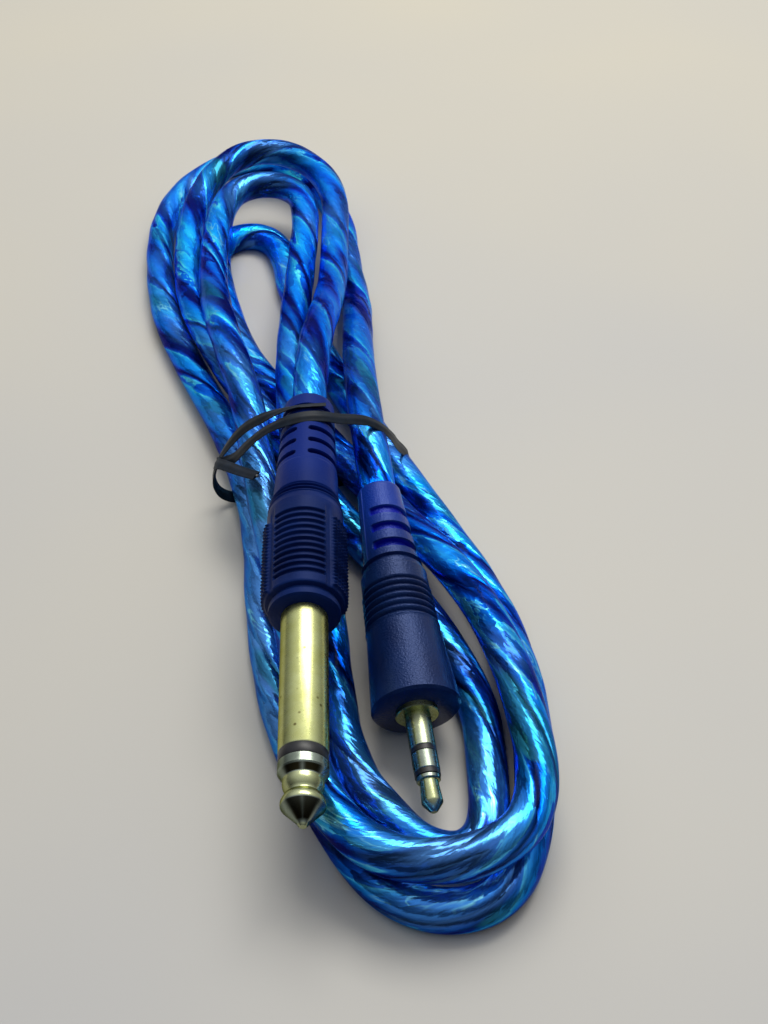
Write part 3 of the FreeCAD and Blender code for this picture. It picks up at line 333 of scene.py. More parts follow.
# Painted light and shade: broad lighter and darker patches for the film's own waves, painted brighter
# away from the plugs' tips, each flake a little apart from the next, and painted shade where the
# upper far turns are folded
wave = add(tree, "TexNoise", {"Vector": stretched(0.25), "Scale": 0.3, "Detail": 2.0})
painted_light_and_shade = sum_of((wave.outputs[0], 1.4), (flake_parts.outputs[1], 0.35), (chip_parts.outputs[1], 0.10))
painted_light_and_shade = add(tree, "Math", {0: painted_light_and_shade.outputs[0], 1: 1.0}, operation="ADD")
place = add(tree, "TexCoord")
place_parts = add(tree, "SeparateXYZ", {0: place.outputs["Object"]})
far = add(tree, "MapRange", {0: place_parts.outputs[1], 1: -0.09, 2: 0.05, 3: 0.92, 4: 1.75})
painted_light_and_shade = add(tree, "Math", {0: painted_light_and_shade.outputs[0], 1: far.outputs[0]}, operation="MULTIPLY")
fold_shade = add(tree, "VectorMath", {0: place.outputs["Object"], 1: FOLD_SHADE_MIDDLE}, operation="DISTANCE")
fold_shade = add(tree, "MapRange", {0: fold_shade.outputs["Value"], 1: 0.0075, 2: 0.014, 3: 0.28, 4: 1.0})
painted_light_and_shade = add(tree, "Math", {0: painted_light_and_shade.outputs[0], 1: fold_shade.outputs[0]}, operation="MULTIPLY")
colour = add(tree, "VectorMath", {0: shade.outputs[0], "Scale": painted_light_and_shade.outputs[0]}, operation="SCALE")
# The jacket's milky haze with painted reflections of the room in it, most on the near outer left
# strand, and a few patches where it shows teal
milk = add(tree, "TexNoise", {"Vector": stretched(0.35), "Scale": 0.11, "Detail": 1.0})
haze_and_reflection_share = add(tree, "ValToRGB", {0: milk.outputs[0]}, stops=((0.46, 0.0), (0.66, 0.55)))
left = add(tree, "MapRange", {0: place_parts.outputs[0], 1: 0.001, 2: -0.004, 3: 0.0, 4: 0.8})
near = add(tree, "MapRange", {0: place_parts.outputs[1], 1: -0.01, 2: -0.03, 3: 0.0, 4: 1.0})
haze_and_reflection_share = add(tree, "Math", {0: left.outputs[0], 1: near.outputs[0], 2: haze_and_reflection_share.outputs[0]},
                 operation="MULTIPLY_ADD", use_clamp=True)
colour = add(tree, "Mix", {0: haze_and_reflection_share.outputs[0], 6: colour.outputs[0], 7: "#5c9ae0"},
             data_type="RGBA")
patch = add(tree, "TexNoise", {"Vector": stretched(0.3), "Scale": 0.2, "Detail": 0.5})
patch_share = add(tree, "ValToRGB", {0: patch.outputs[0]}, stops=((0.67, 0.0), (0.70, 0.6)))
colour = add(tree, "Mix", {0: patch_share.outputs[0], 6: colour.outputs[2], 7: "#2a7f92"},
             data_type="RGBA")
# Painted glints: highlights painted as thin crackled lines, in clusters, and only on a band's bright
# part
crease = add(tree, "TexNoise", {"Vector": stretched(0.2), "Scale": 0.7, "Detail": 2.0,
                                "Distortion": 1.0})
crease = add(tree, "ValToRGB", {0: crease.outputs[0]}, stops=((0.46, 0.0), (0.54, 0.0), (0.50, 1.0)))
cluster = add(tree, "ValToRGB", {0: wave.outputs[0]}, stops=((0.52, 0.0), (0.60, 1.0)))
edge_lit = add(tree, "ValToRGB", {0: band.outputs[0]}, stops=(
    (0.25, 0.0), (0.74, 0.0), (0.45, 1.0), (0.72, 1.0)))
painted_glint = add(tree, "Math", {0: crease.outputs[0], 1: cluster.outputs[0]}, operation="MULTIPLY")
painted_glint = add(tree, "Math", {0: painted_glint.outputs[0], 1: edge_lit.outputs[0]}, operation="MULTIPLY")
colour = add(tree, "Mix", {0: painted_glint.outputs[0], 6: colour.outputs[2], 7: "#8ce4ff"},
             data_type="RGBA")
lobe = add(tree, "Math", {0: band.outputs[0], 1: math.pi}, operation="MULTIPLY")
lobe = add(tree, "Math", {0: lobe.outputs[0]}, operation="SINE")
relief = add(tree, "Math", {0: flake.outputs["Distance"], 1: 0.5, 2: lobe.outputs[0]},
             operation="MULTIPLY_ADD")
relief = add(tree, "Math", {0: chip.outputs["Distance"], 1: 0.12, 2: relief.outputs[0]},
             operation="MULTIPLY_ADD")
bump = add(tree, "Bump", {"Strength": 0.8, "Distance": 0.45 * MM, "Height": relief.outputs[0]})
tree.links.new(colour.outputs[2], shader.inputs["Base Color"])
tree.links.new(bump.outputs[0], shader.inputs["Normal"])
cord.data.materials.append(film)
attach(cord, "root")
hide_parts("cable_hank")

# The table and the light: a plain pale top, one large soft lamp overhead to the right and behind,
# and a room that is dark behind the camera

floor_mesh = bpy.data.meshes.new("table_top")
floor_mesh.from_pydata([(-2, -2, 0), (2, -2, 0), (2, 2, 0), (-2, 2, 0)], [], [(0, 1, 2, 3)])
table_top = bpy.data.objects.new("table_top", floor_mesh)
bpy.context.scene.collection.objects.link(table_top)
# Pale matt paint with a broad faint mottle, and painted light: warmer and lighter away from the camera
paint, tree, shader = finish_named("pale_table_top", roughness=0.55)
place = add(tree, "TexCoord")
mottle = add(tree, "TexNoise", {"Vector": place.outputs["Object"], "Scale": 1 / (143 * MM),
                                "Detail": 2.0})
place_parts = add(tree, "SeparateXYZ", {0: place.outputs["Object"]})
far = add(tree, "Math", {0: place_parts.outputs[1], 1: 1.6, 2: mottle.outputs[0]},
          operation="MULTIPLY_ADD")
tone = add(tree, "ValToRGB", {0: far.outputs[0]}, stops=(
    (0.25, "#bdbbb8"), (0.95, "#cdc6b4"), (0.5, "#c4c0b7")))
tree.links.new(tone.outputs[0], shader.inputs["Base Color"])
floor_mesh.materials.append(paint)

world = bpy.data.worlds.new("soft_room")
bpy.context.scene.world = world
world.use_nodes = True
tree = world.node_tree
back = tree.nodes["Background"]
way = add(tree, "TexCoord")
facing = add(tree, "VectorMath", {0: way.outputs["Generated"], 1: (0.06, 0.42, 0.90)},
             operation="DOT_PRODUCT")
room = add(tree, "ValToRGB", {0: facing.outputs["Value"]}, stops=(
    (0.0, "#3c3f45"), (1.0, "#f4f5f8"), (0.25, "#74777d"), (0.5, "#a3a7ae"), (0.8, "#dfe2e8")))
tree.links.new(room.outputs[0], back.inputs["Color"])
back.inputs["Strength"].default_value = 0.95

lamp_panel = bpy.data.lights.new("ceiling_lamp", "AREA")
lamp_panel.shape = "RECTANGLE"
lamp_panel.size = 0.50
lamp_panel.size_y = 0.34
lamp_panel.energy = 3.2
lamp_panel.color = linear("#fffdf6")[:3]
lamp = bpy.data.objects.new("ceiling_lamp", lamp_panel)
lamp.location = (0.11, 0.30, 0.62)
lamp.rotation_euler = (-lamp.location).to_track_quat("-Z", "Y").to_euler()
bpy.context.scene.collection.objects.link(lamp)

# The big plug's moulding: navy translucent PVC, moulded over the hard core and the cord's end, with
# a slotted strain relief, a ringed shoulder, a ribbed panel on top and a serrated pad on each side


def rise(x, edge, soft):
    """0 before the edge and 1 after it, over a soft width: 3 t^2 - 2 t^3."""
    t = np.clip((x - edge) / soft + 0.5, 0, 1)
    return t * t * (3 - 2 * t)


def between(x, low, high, soft):
    """1 from low to high and 0 outside, with soft edges."""
    return rise(x, low, soft) - rise(x, high, soft)


def apart(angle, heading):
    """How far each angle is from a heading, in degrees, from 0 to 180."""
    return np.abs((angle - heading + 180) % 360 - 180)


def slotted(z, angle, radius, starts, width, spines, floor, end):
    """A radius cut down to the floor by slots that start at these heights and stop at the spines.

    A spine is (heading, half width in degrees, first slot that it stops). A slot's half width
    falls to 0 at the spine as a circle's does, over the length of its end."""
    for slot, start in enumerate(starts):
        reach = np.full_like(angle, np.inf)
        for heading, half, since in spines:
            if slot >= since:
                reach = np.minimum(reach, (apart(angle, heading) - half) * math.pi / 180 * radius)
        round_end = np.clip(reach / end, 0, 1)
        half_width = width / 2 * np.sqrt(1 - (1 - round_end) ** 2)
        inside = rise(half_width - np.abs(z - start - width / 2), EDGE / 2, EDGE)
        radius = radius - (radius - floor) * inside
    return radius


def rows_near(length, step, edges, soft):
    """Rows every step along a moulding, with four more close by each edge."""
    close = np.array(edges)[:, None] + np.array((-0.7, -0.25, 0.25, 0.7)) * soft
    rows = np.concatenate([np.arange(0, length, step), close.ravel(), [length]])
    return np.unique(np.clip(rows, 0, length).round(3))


def placed(local, rear, way):
    """Points of a plug's own frame, z from its rear to its tip, in the hank's frame in metres."""
    up = unit(np.array((0, 0, 1.0)) - way[2] * way)
    side = np.cross(up, way)
    return (rear + local[..., :1] * side + local[..., 1:2] * up + local[..., 2:] * way) * MM


def turned_surface(z, radius, angle, plug):
    """Points at each height z and angle: (r cos a + the lean at z, r sin a, z), in the plug's place."""
    rear, way, lean = plug
    a = np.radians(angle)
    local = (radius * np.cos(a) + np.interp(z, *lean), radius * np.sin(a), z)
    return placed(np.stack(np.broadcast_arrays(*local), axis=-1), rear, way)


# The soft relief bends a little, so that the pin leans: sideways shift at these heights
JACK = (JACK_REAR, JACK_WAY, ((0, 24, 74), (-0.4, -0.45, 0.4)))
JACK_LENGTH = 42.0              # of the big plug's moulding
JACK_COLUMNS = 250
MOULD_STEP = 0.2                # between a moulding's plain rows
EDGE = 0.16                     # width of a moulded edge's rounding
TOP = 98.0                      # heading of the panel and the spine; 90 is straight up
RELIEF_SLOTS = 2.85 + 2.65 * np.arange(5)
SLOT_WIDTH = 1.0
SLOT_FLOOR = 3.15               # radius left under a slot
SPINES = ((TOP, 12.0, 1), (TOP + 180, 19.0, 0))
RINGS = 20.9 + 0.8 * np.arange(3)
RING_DEPTH = 0.50
RIBS = 26.6 + 1.14 * np.arange(11)
RIB_GROOVE = 0.62
RIB_DEPTH = 0.46
PAD_START, PAD_END = 27.0, 39.8
TOOTH_PITCH = 0.62
NOSE_START, NOSE_END = 40.3, 40.9  # the neck between the grip and the rim round the sleeve
jack_edges = np.concatenate([
    RELIEF_SLOTS, RELIEF_SLOTS + SLOT_WIDTH, RIBS, RIBS + RIB_GROOVE, RINGS, RINGS + 0.5,
    (15.3, 20.6, 24.3, PAD_START, PAD_END, NOSE_START, NOSE_END, JACK_LENGTH)])
z = rows_near(JACK_LENGTH, MOULD_STEP, jack_edges, EDGE)[:, None]
angle = (np.arange(JACK_COLUMNS) * 360 / JACK_COLUMNS)[None, :]
outer = np.interp(z, (0, 0.45, 15.2, 15.5, 20.6, 24.2, 40.0, NOSE_START),
                  (3.55, 3.95, 4.5, 4.6, 4.75, 5.42, 5.45, 5.3)) + 0 * angle
radius = slotted(z, angle, outer, RELIEF_SLOTS, SLOT_WIDTH, SPINES, SLOT_FLOOR, SLOT_WIDTH / 2)
slot_depth = outer - radius
for ring in RINGS:
    radius = radius - RING_DEPTH * np.exp(-((z - ring) / 0.17) ** 2)
    radius = radius + 0.22 * np.exp(-((z - ring - 0.4) / 0.2) ** 2)
# The panel's grooves, the flats beside it, then the pads: raised, with saw teeth across them
off_top = apart(angle, TOP)
panel = between(off_top, -1, 41.0, 1.6)
for rib in RIBS:
    radius = radius - RIB_DEPTH * panel * between(z, rib, rib + RIB_GROOVE, EDGE)
radius = radius - 0.14 * between(off_top, 43.0, 51.6, 2.0) * between(z, 25.4, NOSE_START, 1.6)
pad = between(off_top, 53.0, 122.0, 2.4) * between(z, PAD_START, PAD_END, 0.5)
teeth = np.abs((z / TOOTH_PITCH) % 1 - 0.5) * 2
radius = radius + pad * (0.16 + 0.50 * teeth * (0.8 + 0.2 * np.sin(off_top * 0.9)))
radius = radius - 0.62 * between(z, NOSE_START, NOSE_END, EDGE) - 0.4 * rise(z, NOSE_END, EDGE)
radius = radius - 0.35 * rise(z, JACK_LENGTH - 0.1, 0.25)
jack_skin = turned_surface(z, radius, angle, JACK)
jack_moulding = skin("jack_moulding", jack_skin, sharp=50, slot_depth=slot_depth)

RELIEF_FADE = 12.0              # length along y over which the relief's tone comes in


def soft_pvc(name, body, relief, relief_y, floor, roughness, shine, grain_size, grain_depth):
    """Moulded PVC: the body's two tones, the thin relief's painted lighter for the light through it,
    and the slot floors' painted by their depth, a saturated blue for the light through the thin PVC and
    for the shade in the slots.

    In front of relief_y the tone is all the body's, and behind it the relief's comes in. The
    grain's size and depth are in millimetres, coarser than a real mould's so that it shows."""
    made, tree, shader = finish_named(name, roughness=roughness, ior=1.53,
                                      specular_ior_level=shine, specular_tint="#86a0e8")
    place = add(tree, "TexCoord")
    cloud = add(tree, "TexNoise", {"Vector": place.outputs["Object"], "Scale": 1 / (6.67 * MM),
                                   "Detail": 3.0})
    tone = add(tree, "ValToRGB", {0: cloud.outputs[0]}, stops=((0.35, body[0]), (0.72, body[1])))
    parts = add(tree, "SeparateXYZ", {0: place.outputs["Object"]})
    share = add(tree, "MapRange", {0: parts.outputs[1], 1: relief_y * MM,
                                   2: (relief_y + RELIEF_FADE) * MM, 3: 0.0, 4: 0.8})
    tone = add(tree, "Mix", {0: share.outputs[0], 6: tone.outputs[0], 7: relief}, data_type="RGBA")
    depth = add(tree, "Attribute", attribute_name="slot_depth")
    share = add(tree, "MapRange", {0: depth.outputs["Fac"], 1: 0.15, 2: 0.5, 3: 0.0, 4: 0.95})
    tone = add(tree, "Mix", {0: share.outputs[0], 6: tone.outputs[2], 7: floor}, data_type="RGBA")
    grain = add(tree, "TexNoise", {"Vector": place.outputs["Object"], "Scale": 1 / (grain_size * MM),
                                   "Detail": 2.0, "Roughness": 0.6})
    bump = add(tree, "Bump", {"Strength": 1.0, "Distance": grain_depth * MM,
                              "Height": grain.outputs[0]})
    tree.links.new(tone.outputs[2], shader.inputs["Base Color"])
    tree.links.new(bump.outputs[0], shader.inputs["Normal"])
    return made


# Navy plasticised PVC: dark where it is thick, a saturated blue painted where light comes through the
# relief and the thin slot floors, with painted shade in the slots, satin from the mould with a faint
# grain and 7 mm clouds
jack_moulding.data.materials.append(soft_pvc(
    "moulded_navy_pvc", body=("#071846", "#10265e"), relief="#0a267c", relief_y=-47.0,
    floor="#020c5c", roughness=0.42, shine=0.13, grain_size=0.4, grain_depth=0.03))
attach(jack_moulding, "root")
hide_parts("jack_overmould")

# The small plug's moulding: the same PVC from a spark-eroded mould, with three windows round each
# side of its strain relief, a parting ridge, a ringed neck and a body that widens to the front

MINI = (MINI_REAR, MINI_WAY, ((0, MINI_LENGTH), (0, 0)))
MINI_COLUMNS = 280
PARTING = 148.0                 # heading of the parting line that shows
PARTING_SPINES = ((PARTING, 18.0, 0), (PARTING + 180, 18.0, 0))
WINDOWS = 5.05 + 3.2 * np.arange(3)
WINDOW_WIDTH = 1.5
WINDOW_FLOOR = 3.05
WINDOW_END = 0.2                # its corners' rounding
COLLAR_GROOVE = (14.5, 15.2)
NECK_RINGS = 19.1 + 1.15 * np.arange(6)
NECK_RING_DEPTH = 0.38
mini_edges = np.concatenate([
    WINDOWS, WINDOWS + WINDOW_WIDTH, NECK_RINGS, NECK_RINGS + 0.5, COLLAR_GROOVE,
    (14.2, 16.2, 18.5, 25.3, 37.65, MINI_LENGTH)])
z = rows_near(MINI_LENGTH, MOULD_STEP, mini_edges, EDGE)[:, None]
angle = (np.arange(MINI_COLUMNS) * 360 / MINI_COLUMNS)[None, :]
outer = np.interp(z, (0, 0.3, 14.2, 14.35, 16.1, 16.25, 18.5, 25.2, 25.4, 37.6, MINI_LENGTH),
                  (3.0, 3.25, 4.15, 4.42, 4.42, 4.8, 4.85, 5.1, 5.16, 6.1, 5.75)) + 0 * angle
radius = slotted(z, angle, outer, WINDOWS, WINDOW_WIDTH, PARTING_SPINES, WINDOW_FLOOR, WINDOW_END)
slot_depth = outer - radius
radius = radius - 0.5 * between(z, *COLLAR_GROOVE, EDGE)
for ring in NECK_RINGS:
    radius = radius - NECK_RING_DEPTH * np.exp(-((z - ring) / 0.2) ** 2)
    radius = radius + 0.12 * np.exp(-((z - ring - 0.55) / 0.25) ** 2)
for line_heading in (PARTING, PARTING + 180):
    ridge = np.exp(-(apart(angle, line_heading) / 1.6) ** 2)
    radius = radius + 0.13 * ridge * between(z, 0.3, 14.1, 0.4)
mini_skin = turned_surface(z, radius, angle, MINI)
mini_moulding = skin("mini_moulding", mini_skin, sharp=50, slot_depth=slot_depth)
# The same PVC with a deeper and shinier grain that glitters, and painted lighter where its relief is
# thin, for the light that comes through it
mini_moulding.data.materials.append(soft_pvc(
    "spark_textured_navy_pvc", body=("#0a1a42", "#122856"), relief="#1438a0", relief_y=-50.0,
    floor="#03109a", roughness=0.27, shine=0.5, grain_size=0.3, grain_depth=0.09))
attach(mini_moulding, "root")
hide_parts("mini_overmould")

# Both pins: sleeve, ring and tip are brass turned on a lathe and flashed with gold, with black bands
# moulded between them, and the moulding grips the sleeve's rear end

JACK_PIN = 3.175                # radius of the 6.35 mm pin
MINI_PIN = 1.75                 # radius of the 3.5 mm pin
PIN_COLUMNS = 128
# Shares above this are the tip's painted dark reflection of the room, on its top side only
ROUND_SHARE_LIMIT = 1.2              # a silver share up to this goes all the way round


def turned_piece(name, profile, plug, node, finish):
    """A lathe-turned piece: its profile of (height, radius, nickel share) swept round the axis.

    A share above the all-round limit is a painted dark reflection of the room, and falls back to that
    limit away from the top."""
    z, radius, silver = np.array(profile, float).T[:, :, None]
    angle = (np.arange(PIN_COLUMNS) * 360 / PIN_COLUMNS)[None, :]
    # Within 50 degrees of the top, where the tip's painted dark reflection lies
    dark_reflection_side = between(apart(angle, 90), -1, 50, 24)
    silver = np.minimum(silver, ROUND_SHARE_LIMIT) + np.maximum(silver - ROUND_SHARE_LIMIT, 0) * dark_reflection_side
    surface = turned_surface(z, radius + 0 * angle, angle, plug)
    made = skin(name, surface, sharp=35, silver=silver + 0 * angle)
    made.data.materials.append(finish)
    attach(made, "root")
    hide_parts(node)
    return made


def bead(start, end, middle, silver):
    """A rounded stretch of profile: a parabola through start, middle and end heights and radii."""
    t = np.linspace(0, 1, 9)[:, None]
    start, middle, end = np.array((start, middle, end), float)
    curve = (1 - t) * (1 - 2 * t) * start + 4 * t * (1 - t) * middle + t * (2 * t - 1) * end
    return np.c_[curve, np.full(len(t), silver)].tolist()


# Brass with a thin gold flash: pale yellow with a green cast, clouded and pitted every 2 mm or so,
# nickel-grey where the flash is thinnest (share 1), and painted near-black at the tip's forward
# cones (share 2) as a painted dark reflection of the room
gold, tree, shader = finish_named("gold_flashed_brass", metallic=1.0, specular_tint="#8c8c74")
place = add(tree, "TexCoord")
wear = add(tree, "TexNoise", {"Vector": place.outputs["Object"], "Scale": 1 / (2.38 * MM),
                              "Detail": 4.0})
tone = add(tree, "ValToRGB", {0: wear.outputs[0]}, stops=((0.3, "#c6c87e"), (0.75, "#d6da9c")))
nickel = add(tree, "ValToRGB", {0: wear.outputs[0]}, stops=((0.35, "#848e80"), (0.7, "#adb7a9")))
silver = add(tree, "Attribute", attribute_name="silver")
tone = add(tree, "Mix", {0: silver.outputs["Fac"], 6: tone.outputs[0], 7: nickel.outputs[0]},
           data_type="RGBA")
# The tip's forward cones painted dark bronze, a painted reflection of the dark room
dark_reflection = add(tree, "MapRange", {0: silver.outputs["Fac"], 1: 1.1, 2: 2.0, 3: 0.0, 4: 1.0})
tone = add(tree, "Mix", {0: dark_reflection.outputs[0], 6: tone.outputs[2], 7: "#2a2618"}, data_type="RGBA")
pits = add(tree, "TexVoronoi", {"Vector": place.outputs["Object"], "Scale": 1 / (1.92 * MM)})
pit = add(tree, "ValToRGB", {0: pits.outputs["Distance"]}, stops=((0.06, 0.8), (0.14, 0.0)))
tone = add(tree, "Mix", {0: pit.outputs[0], 6: tone.outputs[2], 7: "#5a4a22"}, data_type="RGBA")
fine = add(tree, "TexNoise", {"Vector": place.outputs["Object"], "Scale": 1 / (0.667 * MM),
                              "Detail": 2.0})
rough = add(tree, "Math", {0: fine.outputs[0], 1: 0.14, 2: 0.21}, operation="MULTIPLY_ADD")
bump = add(tree, "Bump", {"Strength": 0.3, "Distance": 0.006 * MM, "Height": fine.outputs[0]})
tree.links.new(tone.outputs[2], shader.inputs["Base Color"])
tree.links.new(rough.outputs[0], shader.inputs["Roughness"])
tree.links.new(bump.outputs[0], shader.inputs["Normal"])

# Black moulded polyester, turned almost flush with the metal: satin, with specks under 1 mm
black, tree, shader = finish_named("black_moulded_insulator", roughness=0.4)
place = add(tree, "TexCoord")
speck = add(tree, "TexNoise", {"Vector": place.outputs["Object"], "Scale": 1 / (0.833 * MM)})
tone = add(tree, "ValToRGB", {0: speck.outputs[0]}, stops=((0.3, "#101013"), (0.7, "#1d1d22")))
tree.links.new(tone.outputs[0], shader.inputs["Base Color"])

for name, plug, node, finish, profile in (
        ("jack_sleeve_skin", JACK, "jack_sleeve", gold, (
            (41.2, 3.0, 0), (42.2, 3.0, 0), (42.25, 3.12, 0), (42.3, JACK_PIN, 0),
            (63.85, JACK_PIN, 0), (64.0, 3.1, 0.3))),
        ("jack_band_skin", JACK, "jack_insulator", black, (
            (64.0, 3.12, 0), (64.05, 3.15, 0), (65.45, 3.15, 0), (65.5, 3.12, 0))),
        ("jack_tip_skin", JACK, "jack_tip", gold, (
            (65.5, 3.0, 1), (65.6, JACK_PIN, 1), (66.75, JACK_PIN, 1), (66.85, 3.1, 1),
            (67.0, 3.02, 2.0), (67.7, 2.6, 2.0), *bead((67.9, 2.54), (69.5, 2.12), (68.7, 2.52), 0.4),
            (69.7, 2.1, 0.6), *bead((69.8, 2.14), (71.3, 2.78), (70.5, 2.66), 0.4), (71.5, 2.7, 1.9),
            (73.3, 1.0, 2.0), (73.55, 0.72, 1.2), (73.8, 0.62, 0.6), (74.0, 0.45, 0.6))),
        ("mini_sleeve_skin", MINI, "mini_sleeve", gold, (
            (37.6, 2.8, 0.2), (38.7, 2.95, 0.2), (38.8, 2.85, 0.2), (38.8, MINI_PIN, 0.5),
            (43.7, MINI_PIN, 0.8), (43.8, 1.65, 0.8))),
        ("mini_ring_band_skin", MINI, "mini_ring_insulator", black, (
            (43.8, 1.6, 0), (43.85, 1.72, 0), (44.5, 1.72, 0), (44.55, 1.6, 0))),
        ("mini_ring_skin", MINI, "mini_ring", gold, (
            (44.55, 1.6, 1), (44.65, MINI_PIN, 1), (47.05, MINI_PIN, 1), (47.15, 1.65, 1))),
        ("mini_tip_band_skin", MINI, "mini_tip_insulator", black, (
            (47.15, 1.6, 0), (47.2, 1.72, 0), (47.85, 1.72, 0), (47.9, 1.6, 0))),
        ("mini_tip_skin", MINI, "mini_tip", gold, (
            (47.9, 1.5, 1), (47.98, 1.6, 1), (48.4, 1.6, 1), (48.5, 1.5, 0.7), (48.55, 1.25, 0.5),
            (48.8, 1.22, 0.5), (51.4, 1.42, 0.5), (51.6, 1.38, 0.6), (52.6, 0.62, 0.9),
            (52.8, 0.4, 0.9)))):
    turned_piece(name, profile, plug, node, finish)

# The twist tie: a black plastic ribbon extruded flat over one soft steel wire, wound once round the
# hank by hand, its one end lying on the strain relief and the other turned back over itself

# The ribbon's middle line, and its roll round that line in degrees, evenly spaced along it
TIE_LINE = ((4.4, -24.4, 22.9), (0.5, -24.7, 22.9), (-2.6, -24.3, 21.6), (-5.6, -23.4, 19.5),
            (-8.5, -21.7, 16.5), (-10.8, -21.2, 13.5), (-12.9, -20.7, 10.0), (-14.2, -21.3, 7.0),
            (-14.4, -21.5, 4.6), (-13.3, -21.2, 2.0), (-10.4, -20.2, 0.4), (-4.0, -18.6, 0.3),
            (4.0, -16.4, 0.3), (12.0, -13.8, 0.3), (16.6, -12.8, 1.2), (17.4, -13.4, 3.6),
            (16.4, -15.2, 6.6), (15.4, -17.4, 9.4), (14.7, -19.9, 12.8), (13.4, -21.8, 16.0),
            (11.1, -22.6, 18.3), (8.9, -23.8, 19.6), (6.5, -25.6, 21.0), (3.6, -26.8, 22.6),
            (0.6, -27.4, 22.8), (-2.4, -27.6, 21.8), (-5.4, -26.2, 19.0), (-8.3, -25.5, 15.5),
            (-10.2, -24.2, 12.2), (-12.2, -22.9, 10.2), (-13.5, -22.6, 9.8), (-13.3, -23.8, 10.8),
            (-11.8, -25.4, 11.8), (-9.0, -28.6, 13.2), (-6.3, -30.4, 13.8))
TIE_ROLL = (62, 60, 35, 5, 0, 0, 10, 10, 0, 0, 0, 0, 0, 0, 0, 0, 0, 0, 0, 0, 0,
            10, 15, 15, 15, 10, 10, 15, 10, 0, 0, -20, -30, -30, -30)
TIE_STEP = 0.3 * MM
TIE_LEAN = math.radians(27.1)   # how far the ribbon's width leans up from the hank's length
RIBBON_HALF_WIDTH = 0.98
RIBBON_HALF_THICKNESS = 0.27
RIB_REACH = 0.4
TIE_WIRE_RADIUS = 0.24
WIRE_END = 0.35                 # bare wire past the ribbon's cut end
TIE_TOP = 23.15                 # the tie's highest point
line, along = smooth_line("tie_route", np.array(TIE_LINE) * MM, TIE_STEP)
tangent = unit(np.gradient(line, axis=0))
across = np.array((0, math.cos(TIE_LEAN), math.sin(TIE_LEAN)))
roll = np.radians(np.interp(along / along[-1], np.linspace(0, 1, len(TIE_ROLL)), TIE_ROLL))[:, None]
across = unit(across - (tangent @ across)[:, None] * tangent)
outward = np.cross(tangent, across)
tie_across = np.cos(roll) * across + np.sin(roll) * outward
tie_outward = np.cos(roll) * outward - np.sin(roll) * across
# The section: a flat oval w |cos a|^0.8 wide, t |sin a|^0.6 (1 + exp(-(x / r)^2)) / 2 thick, so that
# it has a rib over the wire
a = np.arange(32) * 2 * math.pi / 32
x = RIBBON_HALF_WIDTH * np.sign(np.cos(a)) * np.abs(np.cos(a)) ** 0.8
y = RIBBON_HALF_THICKNESS * np.sign(np.sin(a)) * np.abs(np.sin(a)) ** 0.6
y = y * (0.5 + 0.5 * np.exp(-(x / RIB_REACH) ** 2))
grid = line[:, None] + MM * (x[None, :, None] * tie_across[:, None]
                             + y[None, :, None] * tie_outward[:, None])
grid[..., 2] = np.clip(grid[..., 2], 0.05 * MM, TIE_TOP * MM)
tie = skin("twist_tie", grid, sharp=60)
wire_line = np.concatenate([line, line[-1:] + WIRE_END * MM * tangent[-1:]])
wire_across, wire_outward = (np.concatenate([ways, ways[-1:]]) for ways in (tie_across, tie_outward))
a = np.arange(12) * 2 * math.pi / 12
wire_grid = wire_line[:, None] + TIE_WIRE_RADIUS * MM * (
    np.cos(a)[None, :, None] * wire_across[:, None]
    + np.sin(a)[None, :, None] * wire_outward[:, None])
wire_grid[..., 2] = np.clip(wire_grid[..., 2], 0.1 * MM, (TIE_TOP - 0.05) * MM)
tie_wire = skin("twist_tie_wire_skin", wire_grid, sharp=60)
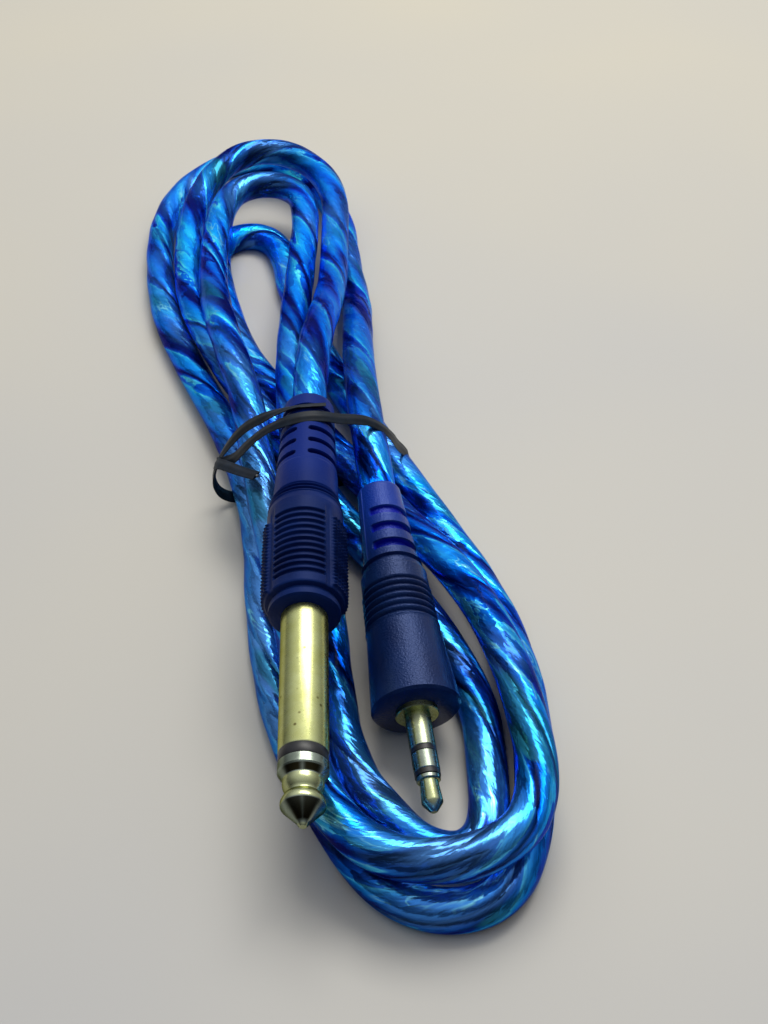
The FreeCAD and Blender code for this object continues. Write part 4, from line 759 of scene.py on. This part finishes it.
# Black PVC with a cool sheen, broken by scuffs from the twisting
ribbon, tree, shader = finish_named("black_tie_ribbon", roughness=0.46, specular_ior_level=0.2)
place = add(tree, "TexCoord")
scuff = add(tree, "TexNoise", {"Vector": place.outputs["Object"], "Scale": 1 / (1.43 * MM),
                               "Detail": 3.0})
tone = add(tree, "ValToRGB", {0: scuff.outputs[0]}, stops=((0.35, "#0a131e"), (0.75, "#142130")))
bump = add(tree, "Bump", {"Strength": 0.4, "Distance": 0.05 * MM, "Height": scuff.outputs[0]})
tree.links.new(tone.outputs[0], shader.inputs["Base Color"])
tree.links.new(bump.outputs[0], shader.inputs["Normal"])
tie.data.materials.append(ribbon)
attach(tie, "root")
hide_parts("twist_tie_cover")

# What the mouldings hide: hard cores over the lugs, which are stamped from tinned brass sheet, with
# the cord's copper soldered to them, all gripped by the soft mouldings

# A smooth dark blue moulding, warm grey tinned sheet, bright copper, whiter solder, and for the tie
# a duller steel. A patch is the size in millimetres of the clouding on each.
inner = {}
for name, metallic, rough, dark, light, patch in (
        ("hard_blue_moulding", 0.0, 0.35, "#0e0f38", "#161748", 2.0),
        ("tinned_brass_sheet", 1.0, 0.35, "#bdb8a6", "#d8d3c2", 1.2),
        ("bare_copper", 1.0, 0.30, "#b9714a", "#dd9a70", 0.6),
        ("soft_solder", 1.0, 0.25, "#b2b4b8", "#d2d3d5", 0.8),
        ("annealed_steel_wire", 1.0, 0.40, "#7d7c7a", "#a9a9a6", 0.4)):
    made, tree, shader = finish_named(name, metallic=metallic, roughness=rough)
    place = add(tree, "TexCoord")
    cloud = add(tree, "TexNoise", {"Vector": place.outputs["Object"], "Scale": 1 / (patch * MM),
                                   "Detail": 2.0})
    tone = add(tree, "ValToRGB", {0: cloud.outputs[0]}, stops=((0.35, dark), (0.7, light)))
    tree.links.new(tone.outputs[0], shader.inputs["Base Color"])
    inner[name] = made
tie_wire.data.materials.append(inner["annealed_steel_wire"])
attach(tie_wire, "root")
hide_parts("twist_tie_wire")
inner["black_moulded_insulator"] = black
for node, name in (
        ("inner_mould", "hard_blue_moulding"), ("tip_lug", "tinned_brass_sheet"),
        ("sleeve_lug", "tinned_brass_sheet"), ("ring_lug", "tinned_brass_sheet"),
        ("signal_wire", "bare_copper"), ("ground_wire", "bare_copper"),
        ("signal_solder", "soft_solder"), ("ground_solder", "soft_solder"),
        ("rear_washer", "black_moulded_insulator")):
    for owner in ("jack_" + node, "mini_" + node):
        if owner in frame["nodes"]:
            for material_slot in bpy.data.objects[owner].material_slots:
                material_slot.material = inner[name]
